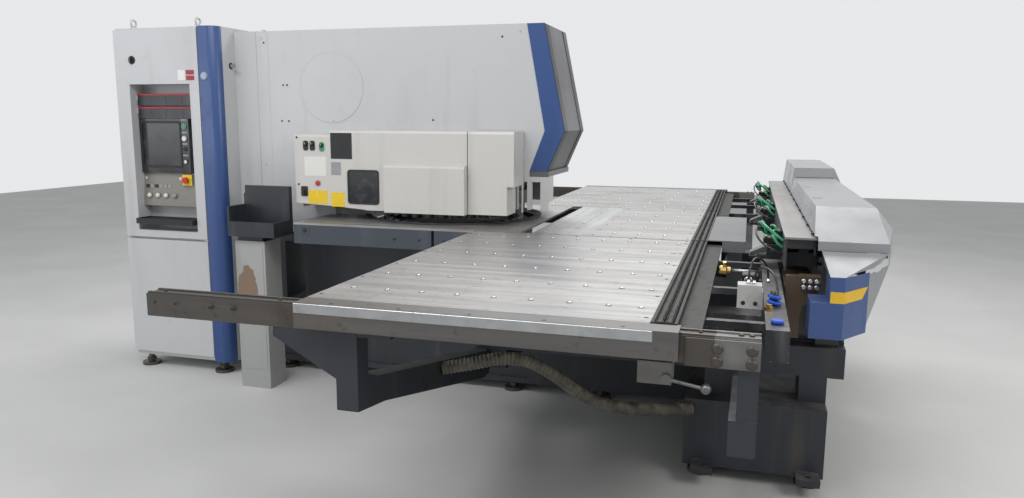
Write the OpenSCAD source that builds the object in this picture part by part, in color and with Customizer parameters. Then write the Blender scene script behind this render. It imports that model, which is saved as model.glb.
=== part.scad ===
// Turret punch press: C frame, revolving tool turrets, travelling table and clamp carriage.
// Millimetres. X runs along the length, Y across the table, Z up from the floor.
// All positions are taken from the turret axis, which stands at turret_x.

/* [Table] */
// height of the sheet plane above the floor
table_top = 1053; // [1040:1:1060]
// half of the overall width across both side tables
table_half = 2501; // [2300:1:2700]
// half width of the fixed centre table
center_half = 692; // [680:1:696]
// running gap between the centre table and a side table
table_gap = 13; // [10:1:20]
// length of the side tables along X
side_length = 1158; // [1100:1:1200]
// thickness of the table tops
top_thick = 12; // [10:1:20]
// diameter of the balls in the tables
ball_d = 16; // [12:1:20]

/* [Turret] */
// radius of both turret discs
turret_r = 500; // [480:1:505]
// radius of the circle that the tools stand on
track_r = 420; // [400:1:425]
// number of tool stations
stations = 32; // [24:2:36]
// diameter of a tool holder
tool_d = 62; // [50:1:66]
// diameter of the turret shafts
shaft_d = 120; // [90:1:140]

/* [Cover] */
// width of the tall body cover
body_width = 530; // [500:1:540]
// height of the tall body cover
body_top = 2190; // [2150:1:2250]
// sheet thickness of the covers
skin = 3; // [2:0.5:5]

/* [Cabinet] */
// width of the control cabinet
cabinet_width = 756; // [720:1:780]
// height of the control cabinet
cabinet_top = 2207; // [2150:1:2260]
// depth of the control cabinet
cabinet_depth = 900; // [800:1:950]

/* [Carriage] */
// length of the clamp carriage along Y
carriage_length = 3050; // [2950:1:3100]
// diameter of the carriage screw
x_screw_d = 40; // [32:1:50]
// diameter of the table screw
y_screw_d = 50; // [40:1:60]
// radial running clearance of shafts and buttons
run = 0.1; // [0.05:0.01:0.1]
// gap between parts that slide past each other
slip = 1; // [0.5:0.1:2]

/* [Hidden] */
$fn = 48;
e = 0.01;
left_reach = 2113;
right_reach = 2359;
turret_x = (left_reach-right_reach)/2;
overall_length = left_reach+right_reach;
side_x0 = 372;
side_x1 = side_x0+side_length;
side_in = center_half+table_gap;
beam_th = 37;
punch_x = track_r;
body_half = body_width/2;
body_x0 = -1225;
knee_z = 1588;
ledge_z = 1322;
nose_low = 1355;
cover_y = -475;
cover_x0 = -850;
cover_x1 = 534;
cover_z0 = 1113;
cover_top = 1585;
cover_step_x = -612;
cover_step = 26;
nose_x = 773;
nose_top_x = nose_x-126;
nose_foot_x = nose_x-100;
bed_core = 250;
base_x0 = 1560;
guide_x0 = 400;
hinge_x = cover_x1-9;
hinge_y = -body_half-17;
cab_x0 = -left_reach;
cab_x1 = cab_x0+cabinet_width;
cab_y0 = -495;
column_x = cab_x1-308;
stop_x = cab_x0+446;
cab_y1 = cab_y0+cabinet_depth;
door_pin_x = cab_x1-142;
door_pin_y = cab_y0+10;
post_y1 = cab_y0+64;
key_y = cab_y0+147;
rail_y0 = -table_half+45;
rail_y1 = rail_y0+80;
rail_x0 = -250;
rail_x1 = 1851;
edge_x1 = side_x1+93;
brush_x = side_x1;
centre_x0 = -741;
bed_x1 = 2180;
bed_half = 1130;
disc_x = -705;
disc_z = body_top-346;
disc_d = 436;
button_z = cabinet_top-301;
key_z = cabinet_top-233;
lock_z = cabinet_top-197;
arm_ys = [rail_y1+244, -1600, -1000];
arm_end = rail_y1+76;
carr_half = carriage_length/2-25;
post_in = 730;
post_out = 1090;
guide_y = 910;
guide_top = 680;
lever_x = side_x1+60;
lever_z = 905;
beam_x0 = 2082;
beam_x1 = 2300;
carr_x0 = 1939;
carr_x1 = 2058;
carr_top = 1207;
clamp_z = 1057;
clamp_ys = [-1100, 80, 1220];
jaw_axis_x = 1905;
jaw_axis_z = 1098;
x_screw_z = 1192;
x_screw_x = 2190;
y_screw_z = 560;
y_screw_y = 300;

// Basic shapes
module block(x0, x1, y0, y1, z0, z1) {
    translate([x0, y0, z0]) cube([x1-x0, y1-y0, z1-z0]);
}
// Section in X and Z, carried along Y from y0 to y1
module along_y(y0, y1) {
    translate([0, y1, 0]) rotate([90, 0, 0]) linear_extrude(y1-y0) children();
}
// Section in Y and Z, carried along X from x0 to x1
module along_x(x0, x1) {
    translate([x0, 0, 0]) rotate([90, 0, 90]) linear_extrude(x1-x0) children();
}
module rod_z(x, y, z0, z1, d) {
    translate([x, y, z0]) cylinder(d = d, h = z1-z0);
}
module rod_y(x, z, y0, y1, d) {
    translate([x, y0, z]) rotate([-90, 0, 0]) cylinder(d = d, h = y1-y0);
}
module rod_x(y, z, x0, x1, d) {
    translate([x0, y, z]) rotate([0, 90, 0]) cylinder(d = d, h = x1-x0);
}
module bolt_z(x, y, z, d, h) {
    translate([x, y, z]) cylinder(d = d, h = h, $fn = 6);
}
module both_sides() {
    children();
    mirror([0, 1, 0]) children();
}
module at_turret() {
    translate([turret_x, 0, 0]) children();
}
// Rectangle with round corners in a drawing plane, made of squares and circles
module round_rect(x0, x1, y0, y1, r) {
    translate([x0+r, y0]) square([x1-x0-2*r, y1-y0]);
    translate([x0, y0+r]) square([x1-x0, y1-y0-2*r]);
    for (x = [x0+r, x1-r], y = [y0+r, y1-r]) translate([x, y]) circle(r = r, $fn = 32);
}
// Plate with a rounded outline, lying in X and Z at a given Y
module face_plate(x0, x1, z0, z1, y0, y1, r) {
    along_y(y0, y1) round_rect(x0, x1, z0, z1, r);
}

// Frame: column, upper arm and lower arm of one welded C, with the bores of both turret
// shafts, the striker cylinder, the drive stack above it and the screw bearing seat
module c_frame() {
    color("#3a3f45") at_turret() difference() {
        union() {
            along_y(-225, 225) polygon([
                [-1190, 90], [560, 90], [560, 870], [-720, 870], [-720, 1060], [-880, 1200],
                [-880, 1480], [-700, 1620], [545, 1620], [600, 1720], [545, body_top-180],
                [300, body_top-70], [-1190, body_top-70]]);
            rod_z(0, 0, 1400, 1621, 300);
            rod_z(punch_x, 0, 1470, 1621, 170);
            rod_z(0, 0, 860, 905, 260);
            block(290, 370, 215, 355, 500, 620);
        }
        along_y(-226, 226) polygon([[-1100, 480], [-960, 480], [-960, 860], [-1100, 860]]);
        both_sides() along_y(-226, -205) polygon([[-1050, 1650], [-250, 1650], [-250, body_top-150],
            [-1050, body_top-150]]);
        rod_z(0, 0, 850, 1000, shaft_d+2*run);
        rod_z(0, 0, 1390, 1560, shaft_d+2*run);
        rod_z(punch_x, 0, 1460, 1720, 90+2*run);
        rod_x(y_screw_y, y_screw_z, 280, 380, y_screw_d+2*run);
    }
}

// Bed: base plate under the frame, core under the tables, wide right base, two guide
// girders on cross bars and uprights, anchor lugs
module bed() {
    color("#33363a") at_turret() difference() {
        union() {
            block(-1190, 561, -bed_core, bed_core, 60, 90);
            block(560, bed_x1, -bed_core, bed_core, 60, 380);
            block(562, bed_x1, -225, 225, 379, 700);
            block(base_x0, bed_x1, -bed_half, bed_half, 60, 380);
            both_sides() {
                block(guide_x0, bed_x1+70, guide_y-110, guide_y+110, 500, 640);
                block(guide_x0, bed_x1+70, guide_y-30, guide_y+30, 639, guide_top);
                block(562, 660, 220, guide_y+110, 400, 501);
                for (x = [base_x0+80, bed_x1-120]) block(x, x+120, guide_y-110, guide_y+110,
                    379, 501);
                for (x = [base_x0+40, bed_x1-120]) block(x, x+100, bed_half-10, bed_half+100,
                    60, 90);
            }
            block(1800, 1870, 224, 355, 500, 620);
        }
        both_sides() for (x = [base_x0+90, bed_x1-70]) rod_z(x, bed_half+55, 50, 100, 26);
        both_sides() block(guide_x0-1, bed_x1+80, guide_y-31, guide_y-18, 652, 668);
        both_sides() block(guide_x0-1, bed_x1+80, guide_y+18, guide_y+31, 652, 668);
        rod_x(y_screw_y, y_screw_z, 1790, 1880, y_screw_d+2*run);
    }
}

// Feet: levelling plates with a screw and a nut under bed, frame and cabinet
module foot(x, y, top) {
    rod_z(x, y, 0, 18, 120);
    rod_z(x, y, 17, top, 36);
    bolt_z(x, y, 26, 62, 20);
}
module levelling_feet() {
    color("#5a5f66") at_turret() {
        for (x = [base_x0+80, bed_x1-60], y = [-bed_half+80, bed_half-80]) foot(x, y, 60);
        for (x = [-1120, -300, 460, 1000], y = [60-bed_core, bed_core-60]) foot(x, y, 60);
        for (x = [cab_x0+70, cab_x1-110], y = [cab_y0+70, cab_y1-70]) foot(x, y, 80);
    }
}

// Tall body cover: folded shell over the upper arm, with the embossed disc on both sides
module body_outline() {
    polygon([[body_x0, 930], [-700, 930], [-700, ledge_z-230], [-870, ledge_z-100],
        [-870, ledge_z], [568, ledge_z], [568, nose_low], [656, knee_z], [546, body_top],
        [body_x0, body_top]]);
}
module body_hollow() {
    polygon([[body_x0-10, 920], [-704, 920], [-704, ledge_z-232], [-874, ledge_z-102],
        [-874, ledge_z+3], [560, ledge_z+3], [565, nose_low], [653, knee_z], [543, body_top-3],
        [body_x0-10, body_top-3]]);
}
module upper_cover() {
    color("#c9ccd0") at_turret() difference() {
        union() {
            difference() {
                along_y(-body_half, body_half) body_outline();
                along_y(-body_half+skin, body_half-skin) body_hollow();
            }
            both_sides() rod_y(disc_x, disc_z, -body_half-3, -body_half+1, disc_d);
            both_sides() for (x = [-1190, 505]) for (z = [1360, body_top-40])
                rod_y(x, z, -body_half-4, -body_half+1, 14);
            block(body_x0, body_x0+skin, -body_half, body_half, 930, body_top);
            rod_z(hinge_x, hinge_y, 1420.5, 1479.5, 14);
            rod_z(hinge_x, hinge_y, 1395, 1505, 8);
            block(hinge_x-5, hinge_x+5, hinge_y, -body_half+1, 1420.5, 1479.5);
            for (post = [[454, 493], [554, 577], [634, 676]]) block(post[0], post[1],
                -body_half, -body_half+40, 1128, ledge_z+1);
            block(454, 676, -body_half, -body_half+40, ledge_z-30, ledge_z+1);
        }
        both_sides() rod_y(disc_x, disc_z, -body_half-4, -body_half-2, disc_d-12);
        both_sides() block(-1141, -1139, -body_half-1, -body_half+1, 950, body_top+1);
        block(-40, 520, -body_half+20, body_half-20, ledge_z-1, ledge_z+4);
        block(-340, 340, -180, 180, ledge_z-1, ledge_z+4);
    }
}

// Blue band: folded strip that wraps the front end of the body cover on both sides
module nose_band() {
    color("#3f5fa6") at_turret() difference() {
        along_y(-body_half-2.5, body_half+2.5) polygon([[546.5, body_top], [656.5, knee_z],
            [568.5, nose_low], [nose_foot_x, nose_low], [nose_x, knee_z], [nose_top_x, body_top]]);
        along_y(-body_half+0.5, body_half-0.5) polygon([[546, body_top-3], [652, knee_z],
            [560, nose_low-1], [nose_foot_x+2, nose_low-1], [nose_x+1, knee_z],
            [nose_top_x+1, body_top-3]]);
        along_y(-body_half, body_half) polygon([[540, body_top+3], [652, knee_z],
            [560, nose_low-3], [568.4, nose_low-3], [656.4, knee_z], [546.4, body_top+3]]);
    }
}

// Grey nose face: folded end panel between the side plates of the band, with the return
// that closes the foot of the nose
module nose_face() {
    color("#8f9398") at_turret() {
        difference() {
            along_y(-body_half+0.6, body_half-0.6) polygon([[nose_top_x-25, body_top-3.2],
                [nose_top_x+0.6, body_top-3.2], [nose_x, knee_z], [nose_foot_x, nose_low],
                [nose_foot_x-28, nose_low], [nose_x-31, knee_z]]);
            along_y(-body_half+4, body_half-4) polygon([[nose_top_x-30, body_top],
                [nose_top_x-5, body_top], [nose_x-5.5, knee_z], [nose_foot_x-7, nose_low-4],
                [nose_foot_x-40, nose_low-4], [nose_x-45, knee_z]]);
        }
        difference() {
            block(568, nose_foot_x+10, -body_half-1, body_half+1, ledge_z+3, nose_low-0.2);
            block(560, nose_foot_x+6, -body_half+3, body_half-3, ledge_z+7, nose_low-4);
        }
    }
}

// Turret covers: shells with a bulge, a window and a row of devices on the near side,
// and a plain shell on the far side, both open at the foot and at the back
module cover_section(top) {
    polygon([[-body_half-0.5, 1113], [-body_half-0.5, top], [cover_y+14, top],
        [cover_y+4, top-5], [cover_y, top-16], [cover_y, 1113]]);
}
module cover_inner(top) {
    polygon([[-body_half+1, 1100], [-body_half+1, top-skin], [cover_y+15, top-skin],
        [cover_y+5+skin, top-9], [cover_y+skin, top-18], [cover_y+skin, 1100]]);
}
module bulge(t) {
    translate([-240+t, 0, 0]) rotate([90, 0, 90]) linear_extrude(497-2*t) polygon([
        [cover_y+1+t, 1111-(t > 0 ? 20 : 0)], [cover_y+1+t, 1395-t], [-527+10+t, 1387-t],
        [-527+3+t, 1383-t], [-527+t, 1374-t], [-527+t, 1111-(t > 0 ? 20 : 0)]]);
}
module turret_covers() {
    color("#dedcd6") at_turret() difference() {
        union() {
            difference() {
                union() {
                    along_x(cover_x0, cover_step_x+1) cover_section(cover_top-cover_step);
                    along_x(cover_step_x, 258) cover_section(cover_top);
                }
                along_x(cover_x0+skin, cover_step_x+skin+1) cover_inner(cover_top-cover_step);
                along_x(cover_step_x+skin, 259) cover_inner(cover_top);
            }
            mirror([0, 1, 0]) difference() {
                along_x(cover_x0, cover_x1) cover_section(cover_top);
                along_x(cover_x0+skin, cover_x1-skin) cover_inner(cover_top);
            }
            both_sides() bulge(0);
        }
        both_sides() bulge(skin);
        both_sides() block(-236, 254, cover_y-2, cover_y+skin+1, 1100, 1380);
        along_y(-540, -400) translate([0, 1113]) polygon([[-851, -20], [-851, 30], [-600, 18],
            [-400, 4], [-380, 0], [-380, -20]]);
        face_plate(-494, -298, 1153, 1348, cover_y-5, cover_y+skin+2, 16);
        rod_y(-697, 1267, cover_y-1, cover_y+8, 26+2*run);
        rod_y(-788, 1210, cover_y-6, cover_y+8, 34+2*run);
    }
}

// Window pane of the turret cover
module turret_window() {
    color("#20262b") at_turret()
        face_plate(-493.5, -298.5, 1153.5, 1347.5, cover_y-1, cover_y+4, 15.5);
}

// Blank plates and switch bases on the turret cover
module switch_plates() {
    color("#2b2e32") at_turret() difference() {
        union() {
            block(-605, -465, cover_y-2, cover_y, 1415, 1584-16);
            block(-605, -541, cover_y-2, cover_y, 1319, 1395);
            block(-767, -634, cover_y-2, cover_y, 1142, 1223);
            block(-612, -521, cover_y-2, cover_y, 1128, 1215);
            block(-785, -640, cover_y-1.5, cover_y, 1310, 1425);
            face_plate(-789, -755, 1462, 1520, cover_y-4, cover_y, 6);
            face_plate(-744, -710, 1462, 1520, cover_y-4, cover_y, 6);
            face_plate(-680, -648, 1458, 1512, cover_y-4, cover_y, 6);
            rod_y(-772, 1502, cover_y-14, cover_y-3, 18);
            rod_y(-727, 1502, cover_y-14, cover_y-3, 18);
            rod_y(-664, 1490, cover_y-14, cover_y-3, 20);
            face_plate(-812, -768, 1186, 1246, cover_y-5, cover_y, 6);
        }
        rod_y(-788, 1210, cover_y-6, cover_y+8, 34+2*run);
    }
}

// Control cabinet: sheet box with door openings, side vents, lifting eyes and red rails
module control_cabinet() {
    color("#c3c6ca") at_turret() difference() {
        union() {
            difference() {
                block(cab_x0, cab_x1-128, cab_y0+24, cab_y1, 80, cabinet_top);
                block(cab_x0+4, cab_x1-132, cab_y0+28, cab_y1-4, 84, cabinet_top-4);
            }
            block(cab_x0, cab_x1-128, cab_y0+24, cab_y0+60, 80, 140);
            block(cab_x0+120, cab_x1-247, cab_y0+200, cab_y0+230, 84, cabinet_top-4);
            for (x = [cab_x0+80, cab_x1-190], y = [cab_y0+100, cab_y1-90]) {
                rod_z(x, y, cabinet_top-1, cabinet_top+14, 44);
                translate([x, y, cabinet_top+38]) rotate([0, 90, 0])
                    rotate_extrude($fn = 32) translate([22, 0]) circle(r = 7, $fn = 16);
            }
            block(cab_x1-132, cab_x1-2, post_y1+0.5, cab_y1, 80, cabinet_top);
            for (z = [cabinet_top-11.5, 874, 98])
                block(cab_x1-160, cab_x1-131, cab_y0+2, cab_y0+25, z, z+7);
            rod_z(door_pin_x, door_pin_y, cabinet_top-32, cabinet_top-11, 10);
            rod_z(door_pin_x, door_pin_y, 856, 901, 10);
            rod_z(door_pin_x, door_pin_y, 104, 118, 10);
        }
        block(cab_x1-128, cab_x1-6, post_y1+4.5, cab_y1-4, 84, cabinet_top-4);
        block(cab_x0+30, cab_x1-158, cab_y0+20, cab_y0+62, 900, 2170);
        block(cab_x0+30, cab_x1-158, cab_y0+20, cab_y0+62, 170, 860);
        rod_y(cab_x1-90, button_z, post_y1, post_y1+5, 30);
        rod_x(key_y, key_z, cab_x1-8, cab_x1, 24+2*run);
    }
}

// Rounded blue corner post of the cabinet
module cabinet_corner() {
    color("#3f5fa6") at_turret() difference() {
        union() {
            translate([cab_x1-60, cab_y0+60, 80]) cylinder(r = 60, h = cabinet_top-80, $fn = 48);
            block(cab_x1-127.5, cab_x1-60, cab_y0, post_y1, 80, cabinet_top);
            block(cab_x1-61, cab_x1, cab_y0+60, post_y1, 80, cabinet_top);
        }
        block(cab_x1-128, cab_x1+1, post_y1, cab_y0+125, 79, cabinet_top+1);
        translate([cab_x1-60, cab_y0+60, 76]) cylinder(r = 57, h = cabinet_top-80, $fn = 48);
        block(cab_x1-124, cab_x1-60, cab_y0+3, cab_y0+140, 76, cabinet_top-4);
        block(cab_x1-62, cab_x1-3, cab_y0+60, cab_y0+140, 76, cabinet_top-4);
        rod_y(cab_x1-90, button_z, cab_y0-1, cab_y0+5, 40+2*run);
    }
}

// Upper cabinet door: frame with a deep recess for the panels, red document rails
module upper_door() {
    color("#c9ccd0") at_turret() difference() {
        union() {
            block(cab_x0+2, cab_x1-134, cab_y0, cab_y0+20, 885, cabinet_top-12);
            block(cab_x0+90, cab_x1-190, cab_y0+19, cab_y0+130, 920, 1870);
            for (z = [1680, 1762]) block(cab_x0+110, cab_x1-205, cab_y0+56, cab_y0+66, z, z+38);
        }
        difference() {
            block(cab_x0+103, cab_x1-203, cab_y0-1, cab_y0+126, 931, 1860);
            for (z = [1680, 1762])
                block(cab_x0+102, cab_x1-202, cab_y0+56, cab_y0+66, z, z+38);
        }
        rod_y(cab_x0+134, lock_z, cab_y0-1, cab_y0+23, 40+2*run);
        rod_x(cab_y0+98, 992, cab_x0+93, cab_x1-193, 16+2*run);
        rod_z(door_pin_x, door_pin_y, 880, 903, 10+2*run);
        rod_z(door_pin_x, door_pin_y, cabinet_top-34, cabinet_top, 10+2*run);
    }
}

// Screen panel in the recess, with its button column plate
module screen_panel() {
    color("#1d2126") at_turret() difference() {
        block(cab_x0+104, cab_x1-276, cab_y0+60, cab_y0+125.9, 1300, 1645);
        face_plate(cab_x0+128, cab_x1-345, 1345, 1620, cab_y0+59, cab_y0+64, 10);
        for (z = [1595, 1521]) rod_y(column_x, z, cab_y0+59, cab_y0+100, 30+2*run);
    }
    color("#1d2126") at_turret() for (z = [1455, 1373])
        rod_y(column_x, z, cab_y0+54, cab_y0+60, 30);
}

// Operator panel: sloping box below the screen with a row of small buttons
module operator_panel() {
    color("#9a9da1") at_turret() difference() {
        union() {
            along_x(cab_x0+104, cab_x1-204) polygon([[cab_y0+125.9, 1085], [cab_y0+60, 1085],
                [cab_y0+80, 1298], [cab_y0+125.9, 1298]]);
            for (x = [290, 354, 417, 484]) rod_y(cab_x0+x-290+152, 1152, cab_y0+56, cab_y0+90, 24);
            block(stop_x-36, stop_x+36, cab_y0+64, cab_y0+90, 1220, 1290);
            for (x = [0:5]) block(cab_x0+120+x*34, cab_x0+146+x*34, cab_y0+70, cab_y0+90,
                1200, 1222);
        }
        rod_y(stop_x, 1255, cab_y0+50, cab_y0+100, 24+2*run);
    }
}

// Lower cabinet door with folded rim
module lower_door() {
    color("#c9ccd0") at_turret() {
        difference() {
            block(cab_x0+2, cab_x1-134, cab_y0, cab_y0+20, 110, 870);
            block(cab_x0+5, cab_x1-137, cab_y0+3, cab_y0+21, 113, 867);
            rod_z(door_pin_x, door_pin_y, 100, 120, 10+2*run);
            rod_z(door_pin_x, door_pin_y, 860, 880, 10+2*run);
        }
        block(cab_x0+520, cab_x0+545, cab_y0+3, cab_y0+20, 400, 560);
    }
}

// Round lock of the upper door: turning barrel with a bar handle
module door_lock() {
    color("#8a8e93") at_turret() {
        rod_y(cab_x0+134, lock_z, cab_y0-8, cab_y0+28, 40);
        block(cab_x0+128, cab_x0+140, cab_y0-20, cab_y0-7, lock_z-16, lock_z+16);
        block(cab_x0+126, cab_x0+142, cab_y0+27, cab_y0+33, lock_z-10, lock_z+60);
    }
}

// Keyboard shelf: tray on a hinge rod, with the key block
module keyboard_shelf() {
    color("#3a3e43") at_turret() {
        difference() {
            block(cab_x0+114, cab_x1-214, cab_y0-36, cab_y0+92, 975, 1010);
            block(cab_x0+120, cab_x1-220, cab_y0-30, cab_y0+86, 981, 1011);
        }
        block(cab_x0+140, cab_x1-240, cab_y0-20, cab_y0+76, 980, 1000);
        for (r = [0:4], c = [0:12])
            block(cab_x0+150+c*31, cab_x0+174+c*31, cab_y0-14+r*17, cab_y0-1+r*17, 999, 1005);
        rod_x(cab_y0+98, 992, cab_x0+95, cab_x1-195, 16);
        block(cab_x0+160, cab_x1-260, cab_y0+84, cab_y0+98, 985, 999);
    }
}

// Mushroom button of the emergency stop
module estop_button() {
    color("#c0202a") at_turret() {
        rod_y(stop_x, 1255, cab_y0+50, cab_y0+84, 24);
        rod_y(stop_x, 1255, cab_y0+36, cab_y0+51, 40);
    }
}
module green_button() {
    color("#2f9d57") at_turret() rod_y(column_x, 1595, cab_y0+50, cab_y0+68, 30);
}
module white_button() {
    color("#e8e8e4") at_turret() rod_y(column_x, 1521, cab_y0+50, cab_y0+68, 30);
}
module corner_button() {
    color("#2f55b0") at_turret() rod_y(cab_x1-90, button_z, cab_y0-9, cab_y0+12, 40);
}

// Key switch on the side wall of the cabinet, with the key in it
module key_switch() {
    color("#a8a9ab") at_turret() {
        rod_x(key_y, key_z, cab_x1-12, cab_x1+6, 24);
        block(cab_x1+5, cab_x1+34, key_y-1.4, key_y+1.4, key_z-12, key_z+12);
    }
}

// Filler panel: folded sheet between cabinet and body cover
module filler_panel() {
    color("#c3c6ca") at_turret() linear_extrude(body_top)
        polygon([[cab_x1-1.9, cab_y0+190], [cab_x1-1.9, cab_y0+194], [-1229, -body_half],
            [-1229, 120], [-1225, 120], [-1225, -body_half-3], [-1228, -body_half-5]]);
}

// Fixed centre table: round cut-out at the turret, slot, stiff rim, balls
module ball_row(xs, ys) {
    for (x = xs, y = ys) translate([x, y, table_top-6]) {
        cylinder(d = ball_d-4, h = 6.5);
        translate([0, 0, 6.5]) cylinder(d1 = ball_d-4, d2 = ball_d-11, h = 2);
    }
}
module centre_table() {
    color("#9ea3a8") at_turret() difference() {
        union() {
            block(centre_x0, side_x1, -center_half, center_half, table_top-top_thick, table_top);
            both_sides() block(900, side_x1, -center_half+40, -center_half+60, 960, 1042);
            both_sides() block(760, side_x1-60, -248, -228, 960, 1042);
            block(700, 760, -center_half+42, 220, 700, 1042);
            block(700, 760, 219, center_half-42, 760, 1042);
            block(side_x1-130, side_x1-70, -center_half+20, 220, 700, 1042);
            block(side_x1-130, side_x1-70, 219, center_half-20, 760, 1042);
            block(centre_x0+6, -700, -center_half+42, center_half-42, 970, 1042);
        }
        rod_z(0, 0, 900, 1100, 2*turret_r+40);
        block(-860, 60, -226, 226, 900, 1100);
        block(-860, -699.7, -body_half-0.3, body_half+0.3, 900, 1100);
        block(629, 699, -center_half+6, center_half-6, 900, table_top-3);
        block(629, 699, -center_half+10, center_half-10, 900, 1100);
        block(700, 992, -center_half+16, center_half-16, table_top-6, 1100);
        both_sides() block(730, 960, -center_half+60, -260, 1000, 1100);
        block(762, 960, -220, 220, 1000, 1100);
        both_sides() block(690, 770, -600, -300, 760, 960);
        both_sides() block(side_x1-140, side_x1-60, -600, -300, 760, 960);
        block(-300, 690, -226, 226, 1000, 1041);
    }
    color("#c8cbce") at_turret() ball_row([for (i = [0:2]) side_x1-410+i*133], [-560:280:560]);
}

// Insert plate with two rows of holes
module insert_plate() {
    color("#a8acb0") at_turret() difference() {
        block(700.3, 991.7, -center_half+16.3, center_half-16.3, table_top-6, table_top);
        for (x = [751, 881], i = [-3:3]) rod_z(x, i*195-8, 1000, 1100, 22);
        for (x = [751, 881], i = [-3:2]) rod_z(x, i*195+90, 1000, 1100, 12);
    }
}

// Aprons: folded panels under the near and far edge of the centre table
module aprons() {
    color("#4a5058") at_turret() both_sides() {
        difference() {
            block(centre_x0, 122, -center_half, -center_half+40, 930, 1040.5);
            block(centre_x0+3, 119, -center_half+3, -center_half+41, 929, 1036);
        }
        difference() {
            block(138, 899, -center_half, -center_half+38, 930, 1040.5);
            block(141, 896, -center_half+3, -center_half+39, 929, 1036);
        }
        block(-700, -640, -center_half-3, -center_half+1, 985, 1035);
    }
}

// Dark ring around the turrets at table level
module turret_skirt() {
    color("#26292d") at_turret() difference() {
        translate([0, 0, table_top]) cylinder(r = turret_r+58, h = 9, $fn = 180);
        translate([0, 0, table_top-1]) cylinder(r = turret_r+21, h = 11, $fn = 180);
        block(-860, 0, -226, 226, table_top-1, table_top+10);
    }
}

// Charcoal tray with its upright at the left end of the aprons
module tray_upright() {
    color("#2c3035") at_turret() difference() {
        union() {
            block(-1193, -877, -690, -500, 951, 1040);
            along_y(-515, -500) polygon([[-1193, 1039], [-877, 1039], [-877, 1243],
                [-1150, 1243], [-1193, 1190]]);
            block(-1193, -1178, -690, -500, 1039, 1130);
            block(-1193, -877, -501, -480, 951, 1243);
            block(-1160, -990, -640, -490, 920, 952);
            block(-1190, -1090, -481, -body_half-0.3, 960, 1030);
        }
        block(-1177, -893, -680, -516, 985, 1041);
        rod_z(-1100, -498, 1200, 1250, 14);
    }
}

// Light side cabinet below the tray
module side_cabinet() {
    color("#b9bcbe") at_turret() difference() {
        block(-1175, -971, -650, -480, 0, 920);
        block(-1172, -974, -640, -483, -1, 917);
    }
    color("#b9bcbe") at_turret() block(-1160, -986, -653, -639, 120, 880);
}

// Fixed rails of the side tables, with twin tracks, end plates and a small box
module table_rails() {
    color("#4b4a48") at_turret() both_sides() difference() {
        union() {
            block(rail_x0, rail_x1, rail_y0, rail_y1, 952, 1034);
            block(rail_x0, rail_x1, rail_y0+8, rail_y0+20, 1033, 1039);
            block(rail_x0, rail_x1, rail_y1-20, rail_y1-8, 1033, 1039);
            block(edge_x1+17, rail_x1, rail_y0-10, rail_y0+1, 947, 1031);
            block(lever_x-86, lever_x+14, rail_y0-14, rail_y1-2, 884, 953);
            for (x = [20, 110]) rod_y(x, 1004, rail_y0-10, rail_y0+2, 16);
        }
        block(rail_x0-1, side_x1-40, rail_y0+8, rail_y1-8, 945, 1026);
        rod_y(lever_x, lever_z, rail_y0-19, rail_y0+56, 14+2*run);
    }
}

// Outriggers: arms from the frame and from the right base to the rails, with gussets
arm_y0 = -bed_half+80;
module outriggers() {
    color("#3b3f44") at_turret() both_sides() {
        for (x = [498, rail_x1-81]) along_x(x, x+80) polygon([[arm_y0, 380.3], [arm_y0, 500],
            [arm_end, 760], [rail_y1-4, 790], [rail_y0, 790], [rail_y0, 680],
            [rail_y0+206, 650], [-bed_half, 380.3]]);
        block(498, 560, arm_y0-1, -225.2, 380.3, 499.9);
        along_y(rail_y0, rail_y1) polygon([[498, 789], [578, 789], [578, 951.8],
            [300, 951.8], [262, 940], [262, 920]]);
        block(rail_x1-60, rail_x1-1, rail_y0+1.3, rail_y1, 789, 951.8);
        block(262, 700, rail_y0+2, rail_y1-2, 940, 951.8);
    }
}

// Bolts with round heads on the rail end plates and the cover screws of the filler panel
module fasteners() {
    color("#55585c") at_turret() both_sides() {
        for (x = [rail_x1-120, rail_x1-24], z = [966, 1005]) {
            translate([x, rail_y0-10, z]) rotate([90, 0, 0]) cylinder(d = 30, h = 10, $fn = 24);
        }
        for (x = [rail_x1-56, rail_x1-26]) bolt_z(x, rail_y0+30, 1034, 16, 8);
    }
}

// Brush strip along the right edge of the fixed centre table
module brush_strip(y0, y1) {
    difference() {
        block(brush_x, brush_x+81, y0, y1, 1010, table_top);
        block(brush_x+11, brush_x+71, y0-1, y1+1, 1020, 1100);
    }
    block(brush_x+15, brush_x+39, y0+2, y1-2, 1019, table_top+2);
    block(brush_x+43, brush_x+67, y0+2, y1-2, 1019, table_top+2);
    block(brush_x+80.5, brush_x+151, y0, y1, table_top-32, table_top-24);
}
module centre_brush() {
    color("#1c1d1f") at_turret() brush_strip(-center_half+8, center_half-8);
}
module side_brushes() {
    color("#1c1d1f") at_turret() both_sides() {
        brush_strip(rail_y1+4, -side_in);
        difference() {
            block(brush_x, brush_x+81, rail_y0+53.5, rail_y1+5, 1043, table_top);
            block(brush_x+11, brush_x+71, rail_y0+57, rail_y1+6, 1046, 1100);
        }
        block(brush_x+15, brush_x+39, rail_y0+58, rail_y1+7, 1045, table_top+2);
        block(brush_x+43, brush_x+67, rail_y0+58, rail_y1+7, 1045, table_top+2);
    }
}

// Corrugated hose under the near table, fixed at the bed and at the rail
hose_pts = [[608.3, -1690, 600], [700, -1655, 622], [820, -1605, 640], [930, -1555, 620],
    [1030, -1495, 548], [1115, -1430, 462], [1210, -1365, 398], [1330, -1295, 362],
    [1450, -1225, 346], [1590, -1159.6, 330]];
module corrugated_hose() {
    color("#5c5b58") at_turret() for (i = [0:len(hose_pts)-2]) hull() {
        translate(hose_pts[i]) sphere(r = 30, $fn = 12);
        translate(hose_pts[i+1]) sphere(r = 30, $fn = 12);
    }
}

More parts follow.
